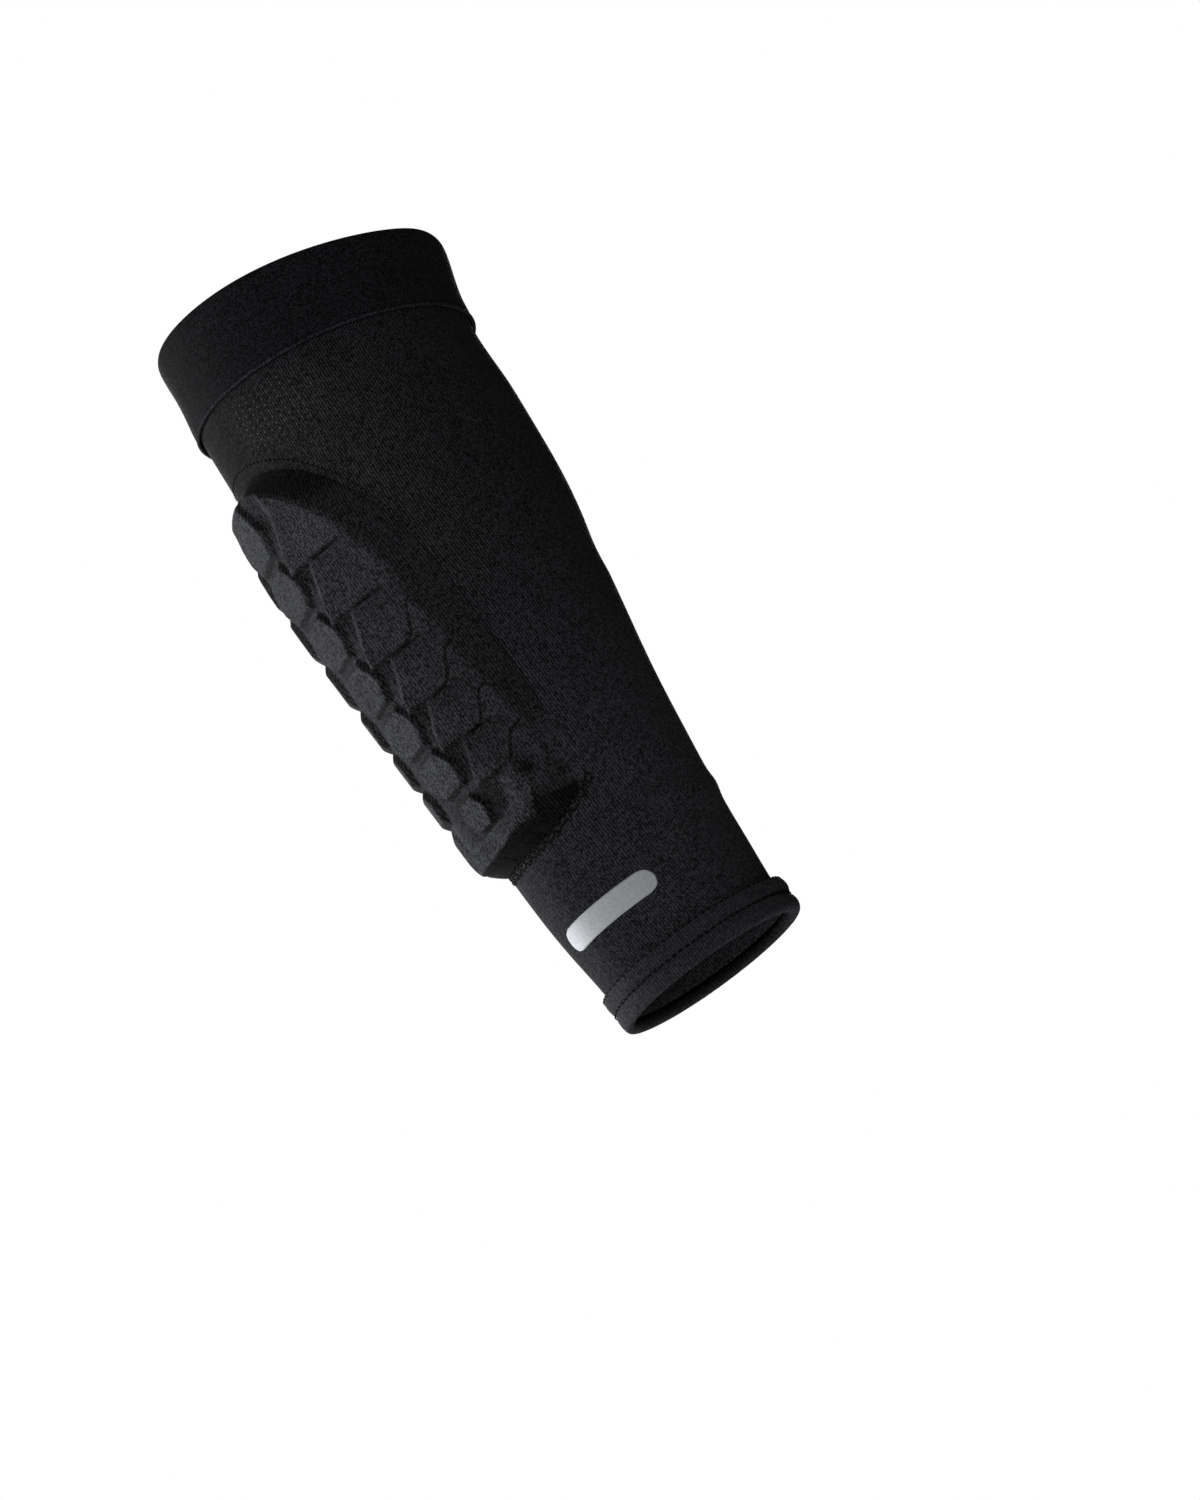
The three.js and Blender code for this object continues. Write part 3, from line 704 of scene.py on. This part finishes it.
    # The bar, a wedge with a skirt at its right limb, and the dent at the end of that limb
    layout = attribute("layout", "FLOAT_VECTOR")
    layout_parts = add_node(tree, "ShaderNodeSeparateXYZ", {0: layout})
    layout_x, layout_y = (Field(tree, layout_parts.outputs[axis]) for axis in "XY")
    bar_info = add_node(tree, "GeometryNodeObjectInfo", {"Object": given["Bar Line"]})
    near_inputs = {"Geometry": bar_info.outputs["Geometry"], "Sample Position": layout}
    near = add_node(tree, "GeometryNodeProximity", near_inputs, target_element="EDGES")
    inside_bar = given["Bar Width"] * 0.5 - Field(tree, near.outputs["Distance"])
    from_line = vectors("SUBTRACT", layout, near.outputs["Position"])
    from_ring = vectors("SUBTRACT", near.outputs["Position"], (0, BAR_LINE[0][1] * MM, 0))
    outward = vectors("NORMALIZE", from_ring.outputs[0])
    past = measure("DOT_PRODUCT", from_line.outputs[0], outward.outputs[0])
    bar_height = given["Bar Rise"] + past.math("MINIMUM", given["Bar Width"] * 0.5) * given["Bar Wedge"]
    bar_turn = add_node(tree, "ShaderNodeSeparateXYZ", {0: outward.outputs[0]})
    skirt = Field(tree, bar_turn.outputs["X"]).ramp(0.8, 0.97) * given["Bar Skirt"]
    skirt = skirt * layout_y.ramp(SKIRT_ENDS, SKIRT_FULL)
    outer = past.ramp(-0.6 * MM, 0.6 * MM)
    outer_climb = (inside_bar + given["Bar End Foot"] + skirt) / (given["Bar End Wall"] + skirt * 0.8)
    dent = 1 - measure("DISTANCE", layout, DENT_PLACE).ramp(DENT_FLOOR, DENT_RIM)
    climb = inside_bar / given["Bar Wall"] * (1 - outer) + outer_climb * outer
    bar = rounded(climb.ramp(0, 1, smooth=False)) * bar_height
    clear = inside_bar.ramp(0, -1.6 * MM)
    relief = (columns - crease * given["Crease Depth"]) * clear
    relief = relief.math("MAXIMUM", bar) - dent * given["Dent Depth"]

    way_out = attribute("out", "FLOAT_VECTOR")
    lift = add_node(tree, "ShaderNodeVectorMath", {0: way_out, "Scale": relief}, operation="SCALE")
    lifted = {"Geometry": given["Pad"], "Offset": lift.outputs[0]}
    moved = add_node(tree, "GeometryNodeSetPosition", lifted)
    # How far the knit's tone is darkened, partly for real stretch and partly as painted shade: on walls and
    # slopes that face away, in creases, in the dent, in the valleys and just below the creases
    normal = tree.nodes.new("GeometryNodeInputNormal")
    facing = measure("DOT_PRODUCT", normal.outputs[0], way_out)
    stretch = facing.ramp(0.96, 0.74) * (0.7 + row.ramp(6.4, 6.7) * 0.42)
    slope = from_edge.ramp(1, 0.75) * (1 - left) * given["Slope Stretch"] * (1 + row.ramp(0.5, -0.1) * 0.88)
    stretch = stretch.math("MAXIMUM", slope * (1 - middle_row.ramp(4.9, 5.6)))
    facet = layout_x.ramp(*FACET_FROM) * layout_y.band(*FACET_HEIGHTS)
    stretch = stretch * (1 - facet * given["Facet Slack"])
    wall_end = layout_x.band(*WALL_END_ACROSS) * layout_y.ramp(*WALL_END_BELOW)
    stretch = stretch.math("MAXIMUM", wall_end * given["Wall End Stretch"])
    stretch = stretch.math("MAXIMUM", dent * given["Dent Stretch"])
    stretch = stretch.math("MAXIMUM", crease * clear * given["Crease Stretch"])
    # Painted shade on the upper part of the right column's cells, just below each crease
    shaded = (1 - below_side.ramp(-0.45, 0.1)) * in_rows * outwards.ramp(-0.5, -0.3)
    shaded = shaded * (1 - outwards.ramp(0.3, 0.45)) * (1 - left) * given["Shaded Stretch"]
    off_bar = inside_bar.ramp(0, -1 * MM)
    stretch = stretch.math("MAXIMUM", shaded * off_bar)
    stretch = stretch.math("MAXIMUM", valley * off_bar * given["Valley Stretch"])
    noted_inputs = {"Geometry": moved.outputs[0], "Name": "stretch", "Value": stretch}
    noted = add_node(tree, "GeometryNodeStoreNamedAttribute", noted_inputs, data_type="FLOAT")
    real = add_node(tree, "GeometryNodeRealizeInstances", {"Geometry": noted.outputs[0]})
    dressed_inputs = {"Geometry": real.outputs[0], "Material": given["Material"]}
    dressed = add_node(tree, "GeometryNodeSetMaterial", dressed_inputs)
    tree.links.new(dressed.outputs[0], out.inputs["Pad"])
    return tree


def note_attribute(mesh, name, values):
    """Puts a number or a vector on each point of a mesh."""
    kind, key = ("FLOAT_VECTOR", "vector") if values.ndim > 1 else ("FLOAT", "value")
    data = mesh.attributes.new(name, kind, "POINT").data
    data.foreach_set(key, values.astype(np.float32).ravel())


def through_nodes(piece, tree, inputs):
    """Runs a piece through a node tree and leaves the result as its plain mesh."""
    modifier = piece.modifiers.new(tree.name, "NODES")
    modifier.node_group = tree
    sockets = {item.name: item.identifier for item in tree.interface.items_tree if item.in_out == "INPUT"}
    for label, value in inputs.items():
        modifier[sockets[label]] = value
    evaluated = piece.evaluated_get(bpy.context.evaluated_depsgraph_get())
    mesh = bpy.data.meshes.new_from_object(evaluated)
    piece.modifiers.remove(modifier)
    mesh.name = piece.name
    piece.data = mesh


def smooth_line(corners, steps):
    """A smooth line of points through corners."""
    corners = np.array(corners, float)
    padded = np.concatenate([[2 * corners[0] - corners[1]], corners, [2 * corners[-1] - corners[-2]]])
    t = np.linspace(0, 1, steps, endpoint=False)[:, None]
    spans = []
    for a, b, c, d in zip(padded, padded[1:], padded[2:], padded[3:]):
        spans.append(b + 0.5 * t * (c - a + t * (2 * a - 5 * b + 4 * c - d + t * (3 * (b - c) + d - a))))
    return np.concatenate([*spans, corners[-1:]])


def new_line(name, points, closed=False):
    """A line of points in the scene, which a node tree can follow."""
    mesh = bpy.data.meshes.new(name)
    edges = [(k, (k + 1) % len(points)) for k in range(len(points) - 1 + closed)]
    mesh.from_pydata(points, edges, [])
    return new_object(name, mesh)


def pad_grid(columns, rows):
    """A grid over the pad in shares of it, stretched to its outline."""
    s, t = np.meshgrid(np.linspace(-1, 1, columns + 1), np.linspace(-1, 1, rows + 1))
    fit = np.maximum(np.abs(s), np.abs(t)) / np.maximum(pad_reach(s, t), 1e-9)
    return s * fit, t * fit


def grid_faces(grid):
    """The faces of a grid of points, as four corners each."""
    return np.stack([grid[:-1, :-1], grid[:-1, 1:], grid[1:, 1:], grid[1:, :-1]], -1).reshape(-1, 4).tolist()


def pad_swell():
    """How far the knit swells off the mould, as cloth under a slight pressure with its sewn edge held."""
    side, up = pad_grid(PAD_ACROSS // SWELL_STEP_ACROSS, PAD_ALONG // SWELL_STEP_ALONG)
    across, height = pad_place(side, up)
    angle = pad_angle(across, height)
    points = sleeve_point(angle, height, foam_top(side, up)).reshape(-1, 3)
    grid = np.arange(side.size).reshape(side.shape)
    mesh = bpy.data.meshes.new("swelling_knit")
    mesh.from_pydata(points, [], grid_faces(grid))
    sheet = new_object("swelling_knit", mesh)
    sewn_edge = np.concatenate([grid[0], grid[-1], grid[:, 0], grid[:, -1]])
    sheet.vertex_groups.new(name="sewn_edge").add(sewn_edge.tolist(), 1, "REPLACE")
    cloth = sheet.modifiers.new("swelling", "CLOTH").settings
    cloth.vertex_group_mass = "sewn_edge"
    cloth.mass = SWELL_MASS
    cloth.use_pressure = True
    cloth.uniform_pressure_force = SWELL_PRESSURE
    cloth.effector_weights.gravity = 0
    for k in range(1, SWELL_FRAMES + 1):
        bpy.context.scene.frame_set(k)
    evaluated = sheet.evaluated_get(bpy.context.evaluated_depsgraph_get())
    swollen = np.empty(points.size, np.float32)
    evaluated.data.vertices.foreach_get("co", swollen)
    bpy.data.objects.remove(sheet)
    bpy.context.scene.frame_set(1)
    moved = ((swollen.reshape(-1, 3) - points) * sleeve_out(angle, height).reshape(-1, 3)).sum(-1)
    capped = SWELL_CAP * np.tanh(np.clip(moved, 0, None) / SWELL_CAP).reshape(side.shape)
    return smooth_line(smooth_line(capped, SWELL_STEP_ALONG).T, SWELL_STEP_ACROSS).T


def pad_sheet(material):
    """The plain pad: a fine grid over its top, stretched to its outline, and a coarse one underneath."""
    side, up = pad_grid(PAD_ACROSS, PAD_ALONG)
    across, height = pad_place(side, up)
    angle = pad_angle(across, height)
    top = np.arange(side.size).reshape(side.shape)
    under = top[:, ::UNDER_STEP].copy()
    under[1:-1, 1:-1] = side.size + np.arange(under[1:-1, 1:-1].size).reshape(under[1:-1, 1:-1].shape)
    inner = np.s_[1:-1, UNDER_STEP:-UNDER_STEP:UNDER_STEP]
    take = np.concatenate([top.ravel(), top[inner].ravel()])
    angle, height, across = angle.ravel()[take], height.ravel()[take], across.ravel()[take]
    is_top = np.arange(len(take)) < side.size
    swell = pad_swell()
    offset = np.where(is_top, (foam_top(side, up) + swell).ravel()[take], UNDER_OFFSET)
    points = sleeve_point(angle, height, offset)
    faces = grid_faces(top) + grid_faces(under[1:-1, ::-1])
    for k in range(under.shape[1] - 1):
        span = np.s_[k * UNDER_STEP:(k + 1) * UNDER_STEP + 1]
        faces.append([*top[0, span][::-1].tolist(), int(under[1, k]), int(under[1, k + 1])])
        faces.append([*top[-1, span].tolist(), int(under[-2, k + 1]), int(under[-2, k])])
    places = knit_place(angle, height)
    uv = np.concatenate([places[face] for face in faces])
    piece = new_piece("forearm_pad_cover", points, faces, uv, material)
    row = cell_row(height)
    drift = LAST_CELL_DRIFT * np.clip((row - DRIFT_START) / DRIFT_RUN, 0, 1)
    note_attribute(piece.data, "column", (across - CELLS_MIDDLE - drift) / COLUMN_ANGLE)
    note_attribute(piece.data, "row", row)
    note_attribute(piece.data, "edge", right_ramp(side, up).ravel()[take])
    from_middle = (across - CELLS_MIDDLE) * BAR_MM_PER_DEGREE * MM
    note_attribute(piece.data, "layout", np.stack([from_middle, height, 0 * height], -1))
    note_attribute(piece.data, "out", sleeve_out(angle, height) * is_top[:, None])
    return piece


pad_knit = knit_material("pad_knit", PAD_BLACK, {}, depth=0.12 * MM, sheen=0.02)
# The pad's knit is darkened by its stretch attribute, which holds real stretch and painted shade
stretched_and_shaded = add_node(pad_knit.node_tree, "ShaderNodeAttribute", attribute_name="stretch")
pad_knit.node_tree.links.new(stretched_and_shaded.outputs["Fac"], group_node(pad_knit.node_tree).inputs["Stretch"])
forearm_pad = pad_sheet(pad_knit)
bar_points = smooth_line(BAR_LINE, 8) * [BAR_MM_PER_DEGREE * MM, MM]
bar_line = new_line("bar_line", [(x, y, 0) for x, y in bar_points])
through_nodes(forearm_pad, raised_cells_tree(), {"Bar Line": bar_line, "Material": pad_knit})
bpy.data.objects.remove(bar_line)
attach(forearm_pad, "root")
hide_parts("forearm_pad")

# Sewing
# Black polyester thread: a fine row round the pad, a coarse zigzag across its lower end, a row of dashes in
# each groove of the hem, and the flat seam that closes the tube behind.
THREAD_BLACK = (0.002, 0.0021, 0.0024, 1)
# The row round the pad lies just outside its outline, and further out at its top, in shares of the pad
EDGE_ROW_OUT, EDGE_ROW_OUT_TOP = 1.012, 0.05
# The zigzags across the pad's lower end: millimetres below it, and how much each wanders
END_ROWS = [(0.5, 0.3), (2.1, 0.4)]
END_ROW_HALF_ANGLE = 60
# How far the threads' middles lie off the knit
EDGE_ROW_LIFT, ROW_LIFT = 0.12 * MM, 0.15 * MM
# The rows in the hem: their height, and how far they stand out of the groove
HEM_ROWS = [(HEM_HEIGHT / 2, 0.65 * MM), (HEM_HEIGHT - 0.4 * MM, 0.6 * MM)]


def stitch_row_tree():
    """Lays one short stitch after another along a line, each flat on the cloth and a little uneven."""
    inputs = {"Line": "Geometry", "Material": "Material", "Seed": "Int", "Pitch": 2 * MM, "Length": 1.4 * MM}
    inputs |= {"Thread": 0.35 * MM, "Slant": 0.0, "Uneven": 0.15}
    tree, given, out = new_group("stitch_row", "GeometryNodeTree", inputs, {"Stitches": "Geometry"})
    curve = add_node(tree, "GeometryNodeMeshToCurve", {"Mesh": given["Line"]})
    even_inputs = {"Curve": curve.outputs[0], "Length": given["Pitch"]}
    even = add_node(tree, "GeometryNodeResampleCurve", even_inputs, mode="LENGTH")
    tangent = tree.nodes.new("GeometryNodeInputTangent")
    way_out = add_node(tree, "GeometryNodeInputNamedAttribute", {"Name": "out"}, data_type="FLOAT_VECTOR")
    along = add_node(tree, "FunctionNodeAlignRotationToVector", {"Vector": tangent.outputs[0]}, axis="X")
    flat_inputs = {"Rotation": along.outputs[0], "Vector": way_out.outputs["Attribute"]}
    flat = add_node(tree, "FunctionNodeAlignRotationToVector", flat_inputs, axis="Z", pivot_axis="X")
    index = Field(tree, tree.nodes.new("GeometryNodeInputIndex").outputs[0])
    to_and_fro = index.math("MODULO", 2) * 2 - 1
    chance_inputs = {"Min": -1.0, "Max": 1.0, "Seed": given["Seed"]}
    chance = add_node(tree, "FunctionNodeRandomValue", chance_inputs, data_type="FLOAT")
    wander = Field(tree, chance.outputs[1]) * given["Uneven"]
    turned = add_node(tree, "ShaderNodeCombineXYZ", {2: to_and_fro * given["Slant"] + wander})
    turn_inputs = {"Rotation": flat.outputs[0], "Rotate By": turned.outputs[0]}
    rotation = add_node(tree, "FunctionNodeRotateRotation", turn_inputs, rotation_space="LOCAL")
    size_inputs = {0: given["Length"], 1: given["Thread"], 2: given["Thread"] * 0.8}
    size = add_node(tree, "ShaderNodeCombineXYZ", size_inputs)
    bead = add_node(tree, "GeometryNodeMeshUVSphere", {"Segments": 8, "Rings": 5, "Radius": 0.5})
    stitch_inputs = {"Points": even.outputs[0], "Instance": bead.outputs["Mesh"]}
    stitch_inputs |= {"Rotation": rotation.outputs[0], "Scale": size.outputs[0]}
    stitches = add_node(tree, "GeometryNodeInstanceOnPoints", stitch_inputs)
    real = add_node(tree, "GeometryNodeRealizeInstances", {"Geometry": stitches.outputs[0]})
    soft = add_node(tree, "GeometryNodeSetShadeSmooth", {"Geometry": real.outputs[0]})
    dressed_inputs = {"Geometry": soft.outputs[0], "Material": given["Material"]}
    dressed = add_node(tree, "GeometryNodeSetMaterial", dressed_inputs)
    tree.links.new(dressed.outputs[0], out.inputs["Stitches"])
    return tree


def sewn_row(name, angle, height, offset, closed=False, **sizes):
    """One row of stitches along a line on the sleeve."""
    row = new_line(name, sleeve_point(angle, height, offset), closed)
    note_attribute(row.data, "out", sleeve_out(angle, height))
    labels = {key.capitalize(): value for key, value in sizes.items()}
    through_nodes(row, stitch_row, labels | {"Material": thread})
    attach(row, "root")


thread_finish = {"Roughness": 0.7, "Specular IOR Level": 0.08}
thread, thread_tree, thread_bsdf = new_material("black_thread", thread_finish)
twist_place = add_node(thread_tree, "ShaderNodeTexCoord")
twist_inputs = {"Vector": twist_place.outputs["Object"], "Scale": 2600.0, "Detail": 1.0}
twist = add_node(thread_tree, "ShaderNodeTexNoise", twist_inputs)
tint_colour(thread_tree, thread_bsdf, THREAD_BLACK, Field(thread_tree, twist.outputs[0]) * 1.2 + 0.4)
stitch_row = stitch_row_tree()

round_pad = np.linspace(0.1 * np.pi, 0.9 * np.pi, 121)
edge_side, edge_up = np.cos(round_pad), np.sin(round_pad)
edge_out = EDGE_ROW_OUT + EDGE_ROW_OUT_TOP * np.clip(edge_up, 0, 1) ** 2
edge_fit = edge_out / pad_reach(edge_side, edge_up)
edge_across, edge_height = pad_place(edge_side * edge_fit, edge_up * edge_fit)
edge_angle = pad_angle(edge_across, edge_height)
edge_offset = knit_slack(edge_angle, edge_height) + EDGE_ROW_LIFT
sewn_row("pad_edge_stitches", edge_angle, edge_height, edge_offset,
         pitch=1.8 * MM, length=1.1 * MM, thread=0.6 * MM, uneven=0.5, seed=3)

end_across = np.linspace(-END_ROW_HALF_ANGLE, END_ROW_HALF_ANGLE, 120)
for k, (below_end, wave) in enumerate(END_ROWS):
    end_line = PAD_BOTTOM + END_BOW * np.abs(end_across) ** 3
    end_line = end_line + (wave * np.sin(end_across * 0.9 + k) - below_end) * MM
    end_angle = pad_angle(end_across, end_line)
    end_offset = knit_slack(end_angle, end_line) + ROW_LIFT
    sewn_row(f"pad_end_zigzag_{k}", end_angle, end_line, end_offset,
             pitch=1.3 * MM, length=1.7 * MM, thread=0.7 * MM, slant=0.7, uneven=0.5, seed=7 + k)

hem_turn = round_sleeve(360)[:-1]
for k, (row_height, row_offset) in enumerate(HEM_ROWS):
    hem_line = np.full_like(hem_turn, row_height)
    hem_out = HEM_GROOVE + row_offset + (hem_roll(hem_turn) - HEM_ROLL) * 0.5
    sewn_row(f"hem_stitches_{k}", hem_turn, hem_line, hem_out, closed=True,
             pitch=2.4 * MM, length=1.6 * MM, thread=0.62 * MM, uneven=0.06, seed=11 + k)

seam_height = np.linspace(HEM_HEIGHT + 1 * MM, CUFF_LOW - 0.5 * MM, 160)
seam_angle = np.full_like(seam_height, np.pi)
sewn_row("back_seam_stitches", seam_angle, seam_height, knit_slack(seam_angle, seam_height) + ROW_LIFT,
         pitch=1.3 * MM, length=4.2 * MM, thread=0.4 * MM, slant=1.1, uneven=0.05, seed=17)

# Plain mark
# A plain silver-grey bar of thin transfer film, pressed on above the hem. It has round ends and follows
# the stretch of the knit under it.
MARK_ANGLE, MARK_HEIGHT = np.radians(31), 28.5 * MM
MARK_LENGTH, MARK_BREADTH, MARK_FILM, MARK_SUNK = 37 * MM, 7.5 * MM, 0.12 * MM, 0.05 * MM
MARK_SILVER = (0.37, 0.383, 0.405, 1)
MARK_KNIT_SHOWS = 0.12
MARK_ROWS, MARK_COLUMNS = 13, 81

film_finish = {"Roughness": 0.55, "Specular IOR Level": 0.3}
mark_film, film_tree, film_bsdf = new_material("silver_film", film_finish)
film_knit = add_node(film_tree, "ShaderNodeGroup", node_tree=fine_knit)
film_tone = Field(film_tree, film_knit.outputs["Tone"]) * MARK_KNIT_SHOWS + (1 - MARK_KNIT_SHOWS)
tint_colour(film_tree, film_bsdf, MARK_SILVER, film_tone)
bump_surface(film_tree, film_bsdf, strength=0.35, depth=0.06 * MM, height=film_knit.outputs["Height"])

aside, down = np.meshgrid(np.linspace(-1, 1, MARK_COLUMNS), np.linspace(-1, 1, MARK_ROWS))
round_end = MARK_BREADTH / 2 * np.sqrt(1 - np.clip(down, -1, 1) ** 2)
mark_x = aside * (MARK_LENGTH / 2 - MARK_BREADTH / 2 + round_end)
mark_z = MARK_HEIGHT + down * MARK_BREADTH / 2
mark_angle = MARK_ANGLE + mark_x / sleeve_section(mark_z)[..., 1:].mean(-1)
mark_base = knit_slack(mark_angle, mark_z)
mark_top = sleeve_point(mark_angle, mark_z, mark_base + MARK_FILM)
mark_under = sleeve_point(mark_angle, mark_z, mark_base - MARK_SUNK)
top = np.arange(aside.size).reshape(aside.shape)
under = top + aside.size
rim = np.concatenate([top[0], top[1:, -1], top[-1, -2::-1], top[-2:0:-1, 0]])
beyond = np.roll(rim, -1)
rim_faces = np.stack([rim, rim + aside.size, beyond + aside.size, beyond], -1).tolist()
mark_faces = grid_faces(top) + grid_faces(under[:, ::-1]) + rim_faces
mark_places = np.tile(knit_place(mark_angle, mark_z).reshape(-1, 2), (2, 1))
mark_points = np.concatenate([mark_top.reshape(-1, 3), mark_under.reshape(-1, 3)])
plain_mark = new_piece("plain_mark", mark_points, mark_faces, mark_places[np.array(mark_faces)], mark_film)
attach(plain_mark, "root")

# Stage
# A pale floor well below the sleeve, which its mount holds up, a broad soft light from the left of the view,
# a weaker one in front and one behind, and the camera of the photograph.
PHOTO_WIDTH, PHOTO_HEIGHT = 1200, 1500
FOCAL_PIXELS = 4300
CAMERA_AZIMUTH, CAMERA_ELEVATION, CAMERA_ROLL = np.radians([56.0, -16.0, 31.3])
CAMERA_DISTANCE = 1.3
SLEEVE_MIDDLE = np.array([0, 0, 0.125])
MIDDLE_SEEN_AT = np.array([493.0, 633.0])
SENSOR_HEIGHT = 36
FLOOR_HEIGHT, FLOOR_HALF = -0.78, 1.3
# The share of its light that the white backdrop, as the camera sees it, throws on the sleeve
BACKDROP_LIGHT = 0.03


def way_to(angle, elevation):
    """The way from the sleeve towards a light or the camera."""
    level = np.cos(elevation)
    return np.array([np.sin(angle) * level, -np.cos(angle) * level, np.sin(elevation)])


def turned_to(direction):
    """A turn that points a light's or camera's back along a direction, upright."""
    right = np.cross([0, 0, 1], direction)
    right = right / np.linalg.norm(right)
    return np.stack([right, np.cross(direction, right), direction], -1)


def soft_light(name, angle, elevation, distance, size, power):
    """A square soft light that faces the middle of the sleeve."""
    light = bpy.data.lights.new(name, "AREA")
    light.size = size
    light.energy = power
    direction = way_to(np.radians(angle), np.radians(elevation))
    place = Matrix(turned_to(direction).tolist()).to_4x4()
    place.translation = SLEEVE_MIDDLE + direction * distance
    new_object(name, light).matrix_world = place


soft_light("left_softbox", angle=-50, elevation=1, distance=1.3, size=0.9, power=31)
soft_light("front_fill", angle=42, elevation=6, distance=1.8, size=1.0, power=14)
soft_light("back_fill", angle=240, elevation=20, distance=1.8, size=1.2, power=38)

world = bpy.data.worlds.new("white_studio")
world.use_nodes = True
backdrop = world.node_tree.nodes["Background"]
seen = add_node(world.node_tree, "ShaderNodeLightPath")
strength = Field(world.node_tree, seen.outputs["Is Camera Ray"]) * (1 - BACKDROP_LIGHT) + BACKDROP_LIGHT
world.node_tree.links.new(strength.socket, backdrop.inputs["Strength"])
backdrop.inputs["Color"].default_value = (1, 1, 1, 1)
bpy.context.scene.world = world
bpy.context.scene.view_settings.view_transform = "Standard"

floor_mesh = bpy.data.meshes.new("floor")
corners = FLOOR_HALF * np.array([(-1, -1), (1, -1), (1, 1), (-1, 1)])
floor_mesh.from_pydata([(x, y, FLOOR_HEIGHT) for x, y in corners], [], [(0, 1, 2, 3)])
pale_finish = {"Base Color": (0.8, 0.8, 0.8, 1), "Roughness": 0.9}
floor_mesh.materials.append(new_material("pale_floor", pale_finish)[0])
floor = new_object("floor", floor_mesh)

camera_data = bpy.data.cameras.new("photo_camera")
camera_data.sensor_fit = "VERTICAL"
camera_data.sensor_height = SENSOR_HEIGHT
camera_data.lens = SENSOR_HEIGHT * FOCAL_PIXELS / PHOTO_HEIGHT
camera = new_object("photo_camera", camera_data)
backwards = way_to(CAMERA_AZIMUTH, CAMERA_ELEVATION)
level_right, level_up, _ = turned_to(backwards).T
right = np.cos(CAMERA_ROLL) * level_right - np.sin(CAMERA_ROLL) * level_up
upwards = np.sin(CAMERA_ROLL) * level_right + np.cos(CAMERA_ROLL) * level_up
photo_middle = np.array([PHOTO_WIDTH, PHOTO_HEIGHT]) / 2
aside_x, aside_y = (MIDDLE_SEEN_AT - photo_middle) / FOCAL_PIXELS * CAMERA_DISTANCE
eye = SLEEVE_MIDDLE - right * aside_x + upwards * aside_y + backwards * CAMERA_DISTANCE
camera_place = Matrix(np.stack([right, upwards, backwards], -1).tolist()).to_4x4()
camera_place.translation = eye
camera.matrix_world = camera_place
bpy.context.scene.camera = camera
